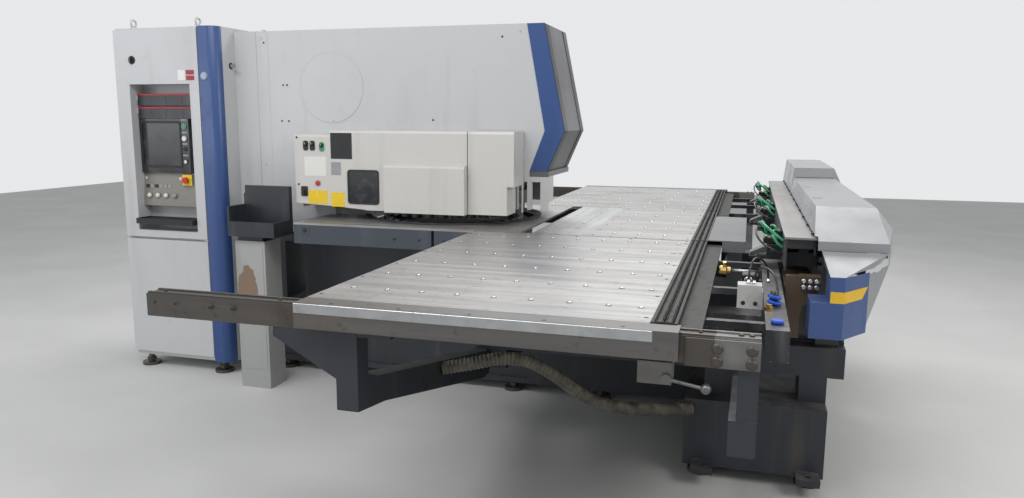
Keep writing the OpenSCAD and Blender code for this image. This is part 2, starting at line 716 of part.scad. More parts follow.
// Door section at the right end of the turret cover, on a vertical hinge rod
module turret_door() {
    color("#dedcd6") at_turret() difference() {
        union() {
            difference() {
                along_x(262, cover_x1) cover_section(cover_top);
                along_x(261, cover_x1-skin) cover_inner(cover_top);
            }
            block(262, 270, cover_y+1, cover_y+30, 1120, 1560);
        }
        block(cover_x1-40, cover_x1+1, cover_y-1, -300, 1100, 1277);
        block(200, 700, -body_half-8, -200, 1000, 1800);
        block(hinge_x+4, 700, hinge_y-7, -200, 1416, 1484);
    }
    color("#dedcd6") at_turret() {
        block(cover_x1-43, cover_x1-40, cover_y+1, -300, 1113, 1278);
        block(cover_x1-43, cover_x1-1, cover_y+1, -300, 1275, 1278);
        difference() {
            union() {
                rod_z(hinge_x, hinge_y, 1330, 1420, 14);
                rod_z(hinge_x, hinge_y, 1480, 1570, 14);
                block(hinge_x-3, hinge_x+7, hinge_y-13, hinge_y, 1330, 1420);
                block(hinge_x-3, hinge_x+7, hinge_y-13, hinge_y, 1480, 1570);
                block(hinge_x-3, hinge_x+7, hinge_y-13, hinge_y-9, 1419, 1481);
            }
            rod_z(hinge_x, hinge_y, 1390, 1510, 8+2*run);
        }
    }
}

// Red button and selector of the turret cover
module cover_button() {
    color("#c0202a") at_turret() rod_y(-697, 1267, cover_y-9, cover_y+12, 26);
}
module selector_knob() {
    color("#202225") at_turret() {
        rod_y(-788, 1210, cover_y-12, cover_y+6, 34);
        block(-793, -783, cover_y-24, cover_y-11, 1196, 1224);
    }
}

// Upper turret: thick disc with tool holders, shaft and toothed rim
module upper_turret() {
    color("#6a6e73") at_turret() difference() {
        union() {
            rod_z(0, 0, 1150, 1230, 2*turret_r);
            rod_z(0, 0, 1229, 1270, 2*turret_r-340);
            rod_z(0, 0, 1269, 1395, 200);
            rod_z(0, 0, 1394, 1540, shaft_d);
            for (i = [1:stations-1]) rotate(i*360/stations) {
                rod_z(track_r, 0, 1078, 1151, tool_d);
                rod_z(track_r, 0, 1229, 1277, tool_d);
                rod_z(track_r, 0, 1276, 1296, tool_d-18);
            }
        }
        rod_z(punch_x, 0, 1100, 1240, tool_d+2*run);
    }
}

// Tool that stands under the striker, free to move down through its seat
module struck_punch() {
    color("#b8bbbf") at_turret() {
        rod_z(punch_x, 0, 1078, 1300, tool_d);
        rod_z(punch_x, 0, 1299, 1322, tool_d-18);
        rod_z(punch_x, 0, 1264, 1282, tool_d+12);
    }
}

// Lower turret: disc with dies and shaft
module lower_turret() {
    color("#5b5f64") at_turret() {
        difference() {
            rod_z(0, 0, 906, 1020, 2*turret_r);
            for (i = [0:stations-1]) rotate(i*360/stations) rod_z(track_r, 0, 1008, 1021, 50);
        }
        rod_z(0, 0, 862, 907, shaft_d);
        for (i = [0:stations-1]) rotate(i*360/stations) difference() {
            rod_z(track_r, 0, 1008, table_top-1, 49.8);
            rod_z(track_r, 0, 1040, 1060, 20);
        }
    }
}

// Striker: ram rod of the cylinder above the tool
module striker() {
    color("#c4c7ca") at_turret() {
        rod_z(punch_x, 0, 1352, 1680, 90);
        rod_z(punch_x, 0, 1322.5, 1353, 56);
    }
}

// Lever with a round knob at the near rail
module rail_lever() {
    color("#8b8f94") at_turret() {
        rod_y(lever_x, lever_z, rail_y0-16, rail_y0+46, 14);
        rod_y(lever_x, lever_z, rail_y0-28, rail_y0-15, 30);
        translate([lever_x, rail_y0-21, lever_z]) rotate([0, 100, 0]) cylinder(d = 11, h = 112);
        translate([lever_x+114, rail_y0-21, lever_z-20]) sphere(d = 32, $fn = 24);
    }
}

// Screw of the table carriage, along X, in two bearings
module y_screw() {
    color("#b0b3b6") at_turret() {
        rod_x(y_screw_y, y_screw_z, 200, 1865, y_screw_d);
        rod_x(y_screw_y, y_screw_z, 210, 285, 90);
        for (i = [0:30]) rod_x(y_screw_y, y_screw_z, 520+i*36, 536+i*36, y_screw_d+4);
    }
}

// Side tables: plates with ribs and balls, near and far
side_ball_x = concat([for (i = [0:7]) side_x0+78+i*(side_length-234)/7], [side_x1-50]);
side_ball_y = [for (i = [0:5]) -side_in-120-i*(table_half-side_in-396)/5];
rib_step = (table_half-side_in-201)/3;
module side_tables() {
    color("#9ea3a8") at_turret() both_sides() {
        difference() {
            union() {
                block(side_x0, side_x1, -table_half+90, -side_in, table_top-top_thick, table_top);
                block(side_x0+10, side_x0+22, rail_y1+16, -side_in-14, 985, 1042);
                block(side_x1-22, side_x1-10, rail_y1+16, -side_in-14, 985, 1042);
                for (i = [0:3]) block(side_x0+10, side_x1-10,
                    -side_in-30-i*rib_step, -side_in-18-i*rib_step, 985, 1042);
            }
        }
        ball_row(side_ball_x, side_ball_y);
    }
}

// Edge beams: folded bright beams in front of the rails, with the slide shoes
module edge_beams() {
    color("#b5b7ba") at_turret() both_sides() {
        difference() {
            along_x(side_x0, edge_x1) polygon([[-table_half+90, table_top], [-table_half, table_top],
                [-table_half, 966], [rail_y0-12, 966], [rail_y0-12, 969], [-table_half+3, 969],
                [-table_half+3, table_top-4], [-table_half+90, table_top-4]]);
            block(side_x1, edge_x1-11, -table_half+90.1-8, -table_half+91, 1045, 1060);
        }
        for (x = [side_x0+60, side_x1-160]) block(x, x+100, rail_y0+22, rail_y0+44,
            1034.3, 1049.5);
    }
}

// Link frames: ladder arms, link beams, saddles and shoes that ride on the guide ways
module link_frames() {
    color("#3d4145") at_turret() both_sides() {
        difference() {
            union() {
                for (y = arm_ys) block(side_x1-10, 1866, y-15, y+15, 985, 1010);
                block(1865, 1935, arm_end, -post_in, 930, 1030);
                block(side_x1-10, side_x1+30, arm_end, -side_in-20, 985, 1010);
                block(1934, 2080, -1060, -780, 930, 1030);
                block(2079, 2230, -post_out+20, -post_in-30, 700, 1069.5);
                block(1640, 2240, -guide_y-80, -guide_y+80, 690, 760);
                block(1934, 2080, -1000, -820, 759, 931);
            }
            block(1600, 2300, -guide_y-30.3, -guide_y+30.3, 600, guide_top+0.3);
            block(2100, 2210, -post_out+40, -post_in-50, 770, 1050);
        }
        for (x = [1660, 2120]) {
            block(x, x+100, -guide_y-80, -guide_y-30.3, 642, 691);
            block(x, x+100, -guide_y+30.3, -guide_y+80, 642, 691);
        }
    }
    color("#3d4145") at_turret() difference() {
        union() {
            block(1670, 1720, y_screw_y-45, y_screw_y+61, 600, 740);
            block(1670, 1720, y_screw_y+60, guide_y-79, 700.5, 740);
            block(1640, 1750, y_screw_y-45, y_screw_y+45, 510, 610);
        }
        rod_x(y_screw_y, y_screw_z, 1600, 1800, y_screw_d+6);
    }
}

// Cross beam: box girder under the beam cover with two rails and screw bearings
module cross_beam() {
    color("#45494e") at_turret() difference() {
        union() {
            block(beam_x0, 2240, -1500, 1480, 1069.5, 1140);
            block(2142, 2240, -1500, 1480, 1139, 1160);
            for (z = [1084, 1118]) block(beam_x0-12, beam_x0+1, -1500, 1480, z-7, z+7);
            block(2150, 2230, -1490, -1430, 1159, 1218);
            block(2150, 2230, 1400, 1460, 1159, 1222);
            for (y = [-1180, -300, 400]) block(2232, 2240, y, y+40, 1139, 1304);
            block(2232, 2240, 1400, 1440, 1139, 1362);
        }
        block(beam_x0+20, 2220, -1520, 1460, 1085, 1130);
        for (y = [-1490, 1400]) rod_y(x_screw_x, x_screw_z, y-1, y+61, x_screw_d+2*run);
    }
}

// Screw of the clamp carriage, along Y
module x_screw() {
    color("#b0b3b6") at_turret() {
        rod_y(x_screw_x, x_screw_z, -1495, 1485, x_screw_d);
        rod_y(x_screw_x, x_screw_z, 1464, 1484, 56);
        for (i = [0:44]) rod_y(x_screw_x, x_screw_z, -1350+i*60, -1336+i*60, x_screw_d+4);
    }
}

// Beam cover: faceted hood over the cross beam with a raised far section, and the sloping
// shroud at its near end
module hood_section(t, up, low) {
    polygon([[2046+t, t > 0 ? low : 1218], [2046+t, 1224], [2063+t, 1307+up-t],
        [2293-t/2, 1307+up-t], [2359-t, 1222], [2359-t, low]]);
}
module hood_slice(y, t, up, low) {
    along_y(y-0.01, y+0.01) hood_section(t, up, low);
}
module hood(t, low) {
    along_y(-1280, 450+t) hood_section(t, 0, low);
    along_y(490+t, 1600-t) hood_section(t, 58, low);
    hull() {
        hood_slice(450+t, t, 0, low);
        hood_slice(490+t, t, 58, low);
    }
    hull() {
        hood_slice(-1280, t, 0, low);
        block(2046+t, 2310-t, -1550+t, -1549.9+t, low, 1200-t/2);
    }
}
module shroud(t) {
    hull() {
        translate([0, 0, 1163]) linear_extrude(1) polygon([[2074+t, -1560+t],
            [2303-t, -1560+t], [2340-t, -1400+t], [2340-t, -1300], [2074+t, -1300]]);
        translate([0, 0, t > 0 ? 1090 : 1100]) linear_extrude(1) polygon([[2091+t, -1750+t],
            [2142-t/2, -1750+t], [2240-t, -1602], [2340-t, -1382+t], [2340-t, -1300],
            [2091+t, -1300]]);
    }
}
module beam_cover() {
    color("#d5d7d9") at_turret() {
        difference() {
            union() {
                hood(0, 1164);
                shroud(0);
                hull() {
                    block(2237, 2240, -1600, -1598, 900, 1101);
                    block(2337, 2340, -1381, -1379, 1096, 1101);
                }
            }
            hood(3, 1100);
            shroud(3);
            block(2000, 2240, -1520, 1700, 1000, 1160);
            block(2040, 2100, -1499, 1601, 1000, 1217.9);
            block(2040, 2059.5, -1600, 1610, 1000, 1213.5);
            block(2284.7, 2307, -1552, -1499.7, 1100, 1163.9);
            block(2077, 2300, -1540, -1290, 1085, 1190);
        }
    }
}

// Blue stepped end caps of the beam cover
module cap_outer(x, z0, z1) {
    translate([0, 0, z0]) linear_extrude(z1-z0)
        polygon([[x, -1600], [x, -1750], [2142, -1750], [2240, -1603], [2240, -1600]]);
}
module cap_inner(x, z0, z1) {
    translate([0, 0, z0]) linear_extrude(z1-z0)
        polygon([[x, -1599], [x, -1747], [2140.4, -1747], [2237, -1602], [2237, -1599]]);
}
module end_caps() {
    color("#4d6cab") at_turret() difference() {
        union() {
            cap_outer(2028, 870, 1005);
            cap_outer(2091, 1004, 1100);
        }
        cap_inner(2031, 873, 1002);
        cap_inner(2094, 1001, 1101);
    }
    color("#4d6cab") at_turret() block(2285, 2306, -1549.5, -1500, 1146, 1163.9);
}

// Painted end bracket with chrome bolts
module end_brackets() {
    color("#5a4638") at_turret() {
        along_y(-1560, -1520) polygon([[1951, 977], [1951, 1062], [2068, 1062], [2068, 977],
            [2040, 970], [2014, 945], [2007, 900], [2007, 818], [1955, 818], [1955, 977]]);
        block(1999, 2078, -1562, -1500, 1010, 1063);
        block(1951, 2069, -1521, -1060, 977, 1005);
    }
    color("#c9cbce") at_turret() for (x = [2015, 2038, 2061], z = [1024, 1048])
        translate([x, -1561.5, z]) rotate([90, 0, 0]) cylinder(d = 16, h = 9, $fn = 24);
}

// Gauge cylinder with its pin, below the sheet plane
module gauge_cylinder() {
    color("#b7babd") at_turret() difference() {
        union() {
            block(1773, 1861, -1735, -1665, 962, 1050);
            block(1860, 1865, -1735, -1665, 962, 1029);
        }
        rod_z(1817, -1700, 950, 1060, 20+2*run);
        for (x = [1795, 1839]) rod_y(x, 982, -1736, -1725, 9);
    }
}
module gauge_pin() {
    color("#d0d2d4") at_turret() {
        rod_z(1817, -1700, 975, 1052, 20);
        rod_z(1817, -1700, 1050.3, 1054, 28);
    }
}

// Grey box at table level, right of the centre brush
module table_extension() {
    color("#8d9094") at_turret() difference() {
        block(brush_x+152, 1795, -645, 400, 995, table_top);
        block(brush_x+155, 1792, -642, 397, 994, table_top-3);
    }
    color("#8d9094") at_turret() {
        block(brush_x+82, brush_x+153, -645, 400, table_top-6, table_top);
        for (y = [-210, 170]) block(1700, 1780, y, y+40, 700, table_top-2);
    }
}

// Clamp carriage: long channel that rides on the rails of the cross beam
module clamp_carriage() {
    color("#2d3034") at_turret() difference() {
        union() {
            block(carr_x0+6, carr_x0+12, -carr_half, carr_half, 1071, carr_top-8);
            block(carr_x0+6, carr_x1-2, -carr_half, carr_half, 1160, 1166);
            block(carr_x1-8, carr_x1-2, -carr_half, carr_half, 1136, carr_top-8);
            for (i = [-6:6]) block(carr_x0+11, carr_x1-7, i*carr_half/6-3, i*carr_half/6+3, 1165, carr_top-8);
            for (y = [-1400, -460, 370, 1310]) block(carr_x0+11, beam_x0-1, y, y+90, 1074, 1130);
            for (y = [-1400, -460, 370, 1310]) block(carr_x0+60, carr_x0+100, y, y+90, 1129,
                1161);
            block(carr_x1-3, 2160, -40, 40, 1166, 1198);
            block(2155, 2225, -40, 40, 1164, 1226);
        }
        for (z = [1084, 1118]) block(beam_x0-13, beam_x0+10, -1600, 1600, z-8, z+8);
        rod_y(x_screw_x, x_screw_z, -50, 50, x_screw_d+6);
    }
}
module carriage_plate() {
    color("#b9bcbf") at_turret() {
        block(carr_x0, carr_x1, -carriage_length/2, carriage_length/2, carr_top-8, carr_top);
        for (i = [0:10]) rod_z(carr_x1-12, -1450+i*290, carr_top-0.5, carr_top+5, 12);
    }
}

// Clamp bodies: three black holders on the carriage with the lower jaws
module clamp_body(y) {
    difference() {
        union() {
            block(1812, carr_x0+6, y-60, y+60, clamp_z, clamp_z+12);
            both_jaw_sides(y) block(1885, carr_x0+6, y-60, y-36, clamp_z, 1121);
            block(1925, carr_x0+6, y-60, y+60, clamp_z, 1121);
            block(1926, carr_x0+6, y-45, y+45, 1120, 1180);
        }
        rod_y(jaw_axis_x, jaw_axis_z, y-61, y+61, 16+2*run);
    }
}
module both_jaw_sides(y) {
    children();
    translate([0, 2*y, 0]) mirror([0, 1, 0]) children();
}
module clamp_bodies() {
    color("#1f2124") at_turret() for (y = clamp_ys) clamp_body(y);
}
module clamp_jaws() {
    color("#4a4e53") at_turret() for (y = clamp_ys) {
        along_y(y-35, y+35) polygon([[1814, 1072], [1814, 1080], [1860, 1102],
            [1890, 1112], [1912, 1112], [1918, 1098], [1912, 1086], [1870, 1080]]);
        rod_y(jaw_axis_x, jaw_axis_z, y-59, y+59, 16);
    }
}

// Green air hoses of the clamps
function hose_arc(y, s) = [[1936, y+s*51.2, 1150], [1920, y+s*66, 1180], [1906, y+s*100, 1186],
    [1904, y+s*150, 1172], [1918, y+s*190, 1152], [1938.8, y+s*205, 1130]];
module air_hoses() {
    color("#1f8f62") at_turret() for (y = clamp_ys) for (s = [-1, 1])
        for (i = [0:4]) hull() {
            translate(hose_arc(y, s)[i]) sphere(r = 6, $fn = 8);
            translate(hose_arc(y, s)[i+1]) sphere(r = 6, $fn = 8);
        }
}

c_frame();
bed();
levelling_feet();
upper_cover();
nose_band();
nose_face();
turret_covers();
turret_window();
switch_plates();
control_cabinet();
cabinet_corner();
filler_panel();
centre_table();
insert_plate();
aprons();
tray_upright();
side_cabinet();
table_rails();
outriggers();
fasteners();
centre_brush();
corrugated_hose();
turret_skirt();
upper_door();
screen_panel();
operator_panel();
lower_door();
door_lock();
keyboard_shelf();
estop_button();
green_button();
white_button();
corner_button();
key_switch();
turret_door();
cover_button();
selector_knob();
upper_turret();
struck_punch();
lower_turret();
striker();
rail_lever();
y_screw();
side_tables();
edge_beams();
link_frames();
side_brushes();
cross_beam();
beam_cover();
end_caps();
end_brackets();
gauge_cylinder();
table_extension();
gauge_pin();
x_screw();
clamp_carriage();
carriage_plate();
clamp_bodies();
clamp_jaws();
air_hoses();
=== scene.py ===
# Looks of the turret punch press: finishes of every panel, plate and rail, and the small hardware.
# Metres. Places along X are counted from the turret axis, as in the construction.
import math
import random

import bmesh
import bpy
from mathutils import Matrix, Vector


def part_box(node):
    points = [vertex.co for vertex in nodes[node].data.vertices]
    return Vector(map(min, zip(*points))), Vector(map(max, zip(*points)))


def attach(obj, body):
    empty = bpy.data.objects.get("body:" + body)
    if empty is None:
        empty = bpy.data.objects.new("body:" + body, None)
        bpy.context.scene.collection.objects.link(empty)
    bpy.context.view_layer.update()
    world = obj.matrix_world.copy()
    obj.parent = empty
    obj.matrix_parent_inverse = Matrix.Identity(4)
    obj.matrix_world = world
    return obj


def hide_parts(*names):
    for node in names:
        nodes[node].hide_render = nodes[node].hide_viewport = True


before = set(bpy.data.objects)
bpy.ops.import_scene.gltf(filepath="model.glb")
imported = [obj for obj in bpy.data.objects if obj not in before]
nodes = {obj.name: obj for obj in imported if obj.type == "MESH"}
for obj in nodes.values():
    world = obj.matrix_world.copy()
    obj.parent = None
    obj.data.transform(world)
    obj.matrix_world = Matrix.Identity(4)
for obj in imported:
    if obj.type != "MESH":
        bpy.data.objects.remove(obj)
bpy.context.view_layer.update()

# Driving places, read from the frame
turret_x = sum(corner[0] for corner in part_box("upper_turret")) / 2
table_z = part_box("insert_plate")[1][2]

# Directions in which small pieces stand off a wall that faces the operator, or off a top face
outward = (0, -1, 0)
upward = (0, 0, 1)


def at(x, y, z):
    """A point given from the turret axis."""
    return Vector((turret_x + x, y, z))


# Camera at the photograph's viewing angle
camera_place = Vector((1.667, -4.750, 1.652))
camera_right = Vector((0.9587, 0.2843, 0.0048))
camera_up = Vector((-0.0503, 0.1528, 0.9870))
camera_lens_mm = 27.97
camera_sensor_mm = 36
camera_reach = 100

camera_data = bpy.data.cameras.new("camera")
camera_data.lens = camera_lens_mm
camera_data.sensor_fit = "HORIZONTAL"
camera_data.sensor_width = camera_sensor_mm
camera_data.clip_end = camera_reach
camera = bpy.data.objects.new("camera", camera_data)
bpy.context.scene.collection.objects.link(camera)
right = camera_right.normalized()
back = right.cross(camera_up).normalized()
up = back.cross(right)
turn = Matrix((right, up, back)).transposed().to_4x4()
camera.matrix_world = Matrix.Translation(camera_place) @ turn
bpy.context.scene.camera = camera


# Finishes
class Value:
    """One output of a finish's node tree, so that shader maths reads as plain expressions."""

    def __init__(self, finish, socket):
        self.finish = finish
        self.socket = socket

    def maths(self, operation, first, second=0.0, clamp=False):
        return self.finish.node("ShaderNodeMath", {"operation": operation, "use_clamp": clamp},
                                {0: first, 1: second})

    def __add__(self, other):
        return self.maths("ADD", self, other)

    def __radd__(self, other):
        return self.maths("ADD", other, self)

    def __sub__(self, other):
        return self.maths("SUBTRACT", self, other)

    def __rsub__(self, other):
        return self.maths("SUBTRACT", other, self)

    def __mul__(self, other):
        return self.maths("MULTIPLY", self, other)

    def __rmul__(self, other):
        return self.maths("MULTIPLY", other, self)

    def __truediv__(self, other):
        return self.maths("DIVIDE", self, other)

    def __gt__(self, other):
        return self.maths("GREATER_THAN", self, other)

    def __lt__(self, other):
        return self.maths("LESS_THAN", self, other)

    def power(self, exponent):
        return self.maths("POWER", self, exponent)

    def most(self, other):
        return self.maths("MAXIMUM", self, other)

    def distance(self, other):
        return self.maths("ABSOLUTE", self - other)

    def ramp(self, start, end):
        """0 below start, 1 above end, smooth between them; start may be the larger."""
        if start < end:
            return self.finish.node("ShaderNodeMapRange", {"interpolation_type": "SMOOTHSTEP"},
                                    {"Value": self, "From Min": start, "From Max": end})
        return self.finish.node("ShaderNodeMapRange", {"interpolation_type": "SMOOTHSTEP"},
                                {"Value": self, "From Min": end, "From Max": start,
                                 "To Min": 1.0, "To Max": 0.0})


class Finish:
    """A procedural material: its principled shader, and the ways that its inputs are made."""

    def __init__(self, name, roughness=0.5, metallic=0.0, **constants):
        self.material = bpy.data.materials.new(name)
        self.material.use_nodes = True
        self.tree = self.material.node_tree
        self.shader = self.tree.nodes["Principled BSDF"]
        self.set("Roughness", roughness)
        self.set("Metallic", metallic)
        for socket, value in constants.items():
            self.set(socket.replace("_", " "), value)
        self.place = self.node("ShaderNodeTexCoord", output="Object")
        self.x, self.y, self.z = (
            self.node("ShaderNodeSeparateXYZ", values={0: self.place}, output=axis)
            for axis in "XYZ")

    def node(self, kind, settings=None, values=None, output=0):
        made = self.tree.nodes.new(kind)
        for name, value in (settings or {}).items():
            if name == "stops":
                elements = made.color_ramp.elements
                while len(elements) < len(value):
                    elements.new(1.0)
                for element, (place, colour) in zip(elements, value):
                    element.position = place
                    element.color = (*colour, 1.0)
            else:
                setattr(made, name, value)
        for socket, value in (values or {}).items():
            self.feed(made.inputs[socket], value)
        return Value(self, made.outputs[output])

    def feed(self, socket, value):
        if isinstance(value, Value):
            self.tree.links.new(value.socket, socket)
        elif hasattr(value, "__len__") and len(value) == 3 and len(socket.default_value) == 4:
            socket.default_value = (*value, 1.0)
        else:
            socket.default_value = value

    def set(self, socket, value):
        self.feed(self.shader.inputs[socket], value)

    def colour(self):
        """The base colour as far as it has been made."""
        return Value(self, self.shader.inputs["Base Color"].links[0].from_socket)

    def stretched(self, scale):
        return self.node("ShaderNodeVectorMath", {"operation": "MULTIPLY"},
                         {0: self.place, 1: scale})

    def noise(self, scale, detail=3.0, stretch=(1, 1, 1), roughness=0.5, seed=0.0):
        return self.node("ShaderNodeTexNoise", {"noise_dimensions": "4D"},
                         {"Vector": self.stretched(stretch), "W": seed, "Scale": scale,
                          "Detail": detail, "Roughness": roughness})

    def blend(self, mask, colour, other):
        """colour where mask is 0 and other where it is 1."""
        mixed = self.tree.nodes.new("ShaderNodeMix")
        mixed.data_type = "RGBA"
        self.feed(mixed.inputs["Factor"], mask)
        self.feed(mixed.inputs[6], colour)
        self.feed(mixed.inputs[7], other)
        return Value(self, mixed.outputs[2])

    def facing(self):
        """How far the surface faces up: 1 on top faces and 0 on walls."""
        normal = self.node("ShaderNodeNewGeometry", output="Normal")
        return self.node("ShaderNodeSeparateXYZ", values={0: normal}, output="Z")

    def edges(self, width):
        """1 along edges and corners, worked out from a rounded normal."""
        rounded = self.node("ShaderNodeBevel", {"samples": 4}, {"Radius": width})
        true = self.node("ShaderNodeNewGeometry", output="Normal")
        same = self.node("ShaderNodeVectorMath", {"operation": "DOT_PRODUCT"},
                         {0: rounded, 1: true}, output="Value")
        return same.ramp(0.99, 0.80)

    def relief(self, height, strength=0.2, depth=0.001):
        bump = self.node("ShaderNodeBump", {}, {"Strength": strength, "Distance": depth,
                                                "Height": height})
        self.set("Normal", bump)


def srgb(red, green, blue):
    """Colour written as the eye sees it, 0 to 255, turned into light."""
    def one(part):
        part = part / 255
        return part / 12.92 if part <= 0.04045 else ((part + 0.055) / 1.055) ** 2.4
    return (one(red), one(green), one(blue))


def tone(colour, factor, lift=0):
    """A darker or lighter tone of a colour written 0 to 255."""
    return srgb(*[min(255, part * factor + lift) for part in colour])


def satin_paint(name, colour, worn=(120, 116, 108), dirt=0.25, roughness=0.42, wear=0.35):
    """Sprayed machine paint: fine orange peel, finger marks, dust on top and rubbed edges."""
    finish = Finish(name, roughness=roughness, Coat_Roughness=0.3)
    clean = srgb(*colour)
    cloudy = finish.noise(1.7, 4.0).ramp(0.35, 0.75)
    streaks = finish.noise(9.0, 3.0, stretch=(1, 1, 0.12), seed=2.0).ramp(0.5, 0.8)
    smudges = finish.noise(23.0, 4.0, seed=5.0).ramp(0.58, 0.78)
    dust = finish.facing().ramp(0.5, 0.95) * finish.noise(14.0, 4.0, seed=8.0).ramp(0.3, 0.8)
    shade = finish.blend(cloudy * 0.35 * dirt, clean, tone(colour, 0.86))
    shade = finish.blend(streaks * 0.45 * dirt, shade, srgb(*worn))
    shade = finish.blend(smudges * 0.3 * dirt, shade, tone(colour, 0.62))
    shade = finish.blend(dust * 0.30 * dirt, shade, srgb(150, 144, 132))
    chips = finish.edges(0.004) * finish.noise(60.0, 3.0, seed=3.0).ramp(0.52, 0.66)
    shade = finish.blend(chips * wear, shade, srgb(*worn))
    finish.set("Base Color", shade)
    finish.set("Roughness", roughness - 0.08 + 0.16 * cloudy + 0.15 * smudges + 0.1 * dust)
    peel = finish.noise(420.0, 2.0)
    finish.relief(peel + 0.6 * finish.noise(3.0, 2.0), 0.10, 0.0006)
    return finish


def brushed_steel(name, colour, along="X", streak=0.5, stain=0.3, stain_colour=(92, 78, 62),
                  roughness=0.36, metallic=0.85):
    """Ground or brushed steel: fine lines one way, long rubbed streaks, brown and grey stains."""
    finish = Finish(name, roughness=roughness, metallic=metallic)
    fine = {"X": (1, 60, 60), "Y": (60, 1, 60), "Z": (60, 60, 1)}[along]
    broad = {"X": (0.5, 9, 9), "Y": (9, 0.5, 9), "Z": (9, 9, 0.5)}[along]
    lines = finish.noise(14.0, 3.0, stretch=fine)
    rubs = finish.noise(2.2, 5.0, stretch=broad, roughness=0.65, seed=1.0)
    patches = finish.noise(3.1, 5.0, roughness=0.6, seed=4.0).ramp(0.42, 0.72)
    spots = finish.noise(31.0, 4.0, seed=6.0).ramp(0.60, 0.72)
    shade = finish.blend(rubs.ramp(0.35, 0.7) * streak, srgb(*colour), tone(colour, 1.18))
    shade = finish.blend(lines.ramp(0.5, 0.8) * streak * 0.6, shade, tone(colour, 0.72))
    shade = finish.blend(patches * stain, shade, srgb(*stain_colour))
    shade = finish.blend(spots * stain * 0.8, shade, tone(stain_colour, 0.6))
    finish.set("Base Color", shade)
    finish.set("Roughness", roughness - 0.07 + 0.22 * rubs + 0.14 * patches)
    finish.relief(lines, 0.12, 0.0004)
    return finish


def cast_plastic(name, colour, roughness=0.35, grain=0.08):
    """Moulded plastic with a light grain and rubbed high spots."""
    finish = Finish(name, roughness=roughness)
    marks = finish.noise(45.0, 4.0).ramp(0.5, 0.75)
    dust = finish.facing().ramp(0.6, 0.98) * finish.noise(40.0, 3.0, seed=2.0).ramp(0.35, 0.7)
    shade = finish.blend(marks * 0.25, srgb(*colour), tone(colour, 1.25, lift=8))
    shade = finish.blend(dust * 0.22, shade, srgb(128, 122, 112))
    finish.set("Base Color", shade)
    finish.set("Roughness", roughness + 0.18 * marks + 0.12 * dust)
    finish.relief(finish.noise(900.0, 2.0), grain, 0.0004)
    return finish


def plain_plastic(name, colour, roughness=0.3):
    return cast_plastic(name, colour, roughness=roughness, grain=0.04)


def marked(name, colour, mark, scale, detail, reach, roughness, rougher, share=1.0, **constants):
    """Glass or film: one clean colour with rougher marks of another."""
    finish = Finish(name, **constants)
    marks = finish.noise(scale, detail).ramp(*reach)
    finish.set("Base Color", finish.blend(marks * share, srgb(*colour), srgb(*mark)))
    finish.set("Roughness", roughness + rougher * marks)
    return finish


# Finishes of this press that need more than one of the above
def side_cabinet_paint():
    """Light grey paint with a large patch worn down to a brown undercoat on the front."""
    finish = satin_paint("side_cabinet_paint", (168, 169, 167), dirt=1.0, roughness=0.45)
    patch_x, patch_z = turret_x - 1.10, 0.60
    half_width, half_height = 0.075, 0.16
    reach = ((finish.x.distance(patch_x) / half_width).power(2.0)
             + (finish.z.distance(patch_z) / half_height).power(2.0))
    ragged = reach + 1.6 * (finish.noise(16.0, 4.0) - 0.5)
    patch = ragged.ramp(1.05, 0.9) * finish.y.ramp(-0.64, -0.645)
    finish.set("Base Color", finish.blend(patch, finish.colour(), srgb(132, 110, 92)))
    return finish


def rail_and_plate_steel():
    """Dark rail, with its bolted end plate and the lever box in light grey, and a painted shadow
    that darkens the end plate's left part.
    """
    finish = brushed_steel("rail_and_plate_steel", (92, 88, 84), "X", streak=0.35, stain=0.6,
                           stain_colour=(66, 52, 40), roughness=0.42, metallic=0.7)
    end_plate = finish.x > turret_x + 1.634
    lever_box = (finish.z < 0.951) * (finish.x > turret_x + 1.40)
    light = end_plate.most(lever_box)
    cloudy = finish.noise(6.0, 4.0, seed=9.0).ramp(0.35, 0.7)
    pale = finish.blend(cloudy, srgb(128, 128, 127), srgb(102, 99, 95))
    # Painted shadow: the end plate is darker brownish grey left of a slanted line.
    painted_shadow_half = (finish.x + 0.22 * finish.z + 0.02 * cloudy) < turret_x + 1.955
    pale = finish.blend(painted_shadow_half * end_plate, pale, srgb(82, 76, 70))
    finish.set("Base Color", finish.blend(light, finish.colour(), pale))
    finish.set("Metallic", 0.7 - 0.45 * light)
    return finish


def bristle_black():
    """Black bristles, grey in random spots towards their tips."""
    finish = Finish("bristle_black", roughness=0.5)
    tips = finish.z.ramp(table_z - 0.004, table_z + 0.006)
    grey = finish.noise(260.0, 2.0).ramp(0.4, 0.75)
    finish.set("Base Color", finish.blend(tips * (0.25 + 0.5 * grey),
                                          srgb(18, 18, 19), srgb(92, 90, 88)))
    return finish


def hose_grey():
    """Grey hose with dust on its upper half."""
    finish = Finish("corrugated_hose_grey", roughness=0.5)
    dust = finish.noise(22.0, 4.0).ramp(0.35, 0.7)
    finish.set("Base Color", finish.blend(dust * (0.4 + 0.6 * finish.facing().ramp(0.0, 0.9)),
                                          srgb(84, 81, 72), srgb(148, 141, 126)))
    finish.set("Roughness", 0.38 + 0.3 * dust)
    return finish


def chrome():
    finish = Finish("chrome", roughness=0.12, metallic=1.0)
    finish.set("Base Color", finish.blend(finish.noise(70.0, 3.0).ramp(0.4, 0.8),
                                          srgb(214, 214, 214), srgb(150, 142, 130)))
    finish.set("Roughness", 0.1 + 0.2 * finish.noise(40.0, 3.0).ramp(0.4, 0.8))
    return finish


def brass():
    finish = Finish("brass", roughness=0.3, metallic=1.0)
    finish.set("Base Color", finish.blend(finish.noise(90.0, 3.0).ramp(0.4, 0.8),
                                          srgb(196, 166, 104), srgb(120, 96, 60)))
    return finish


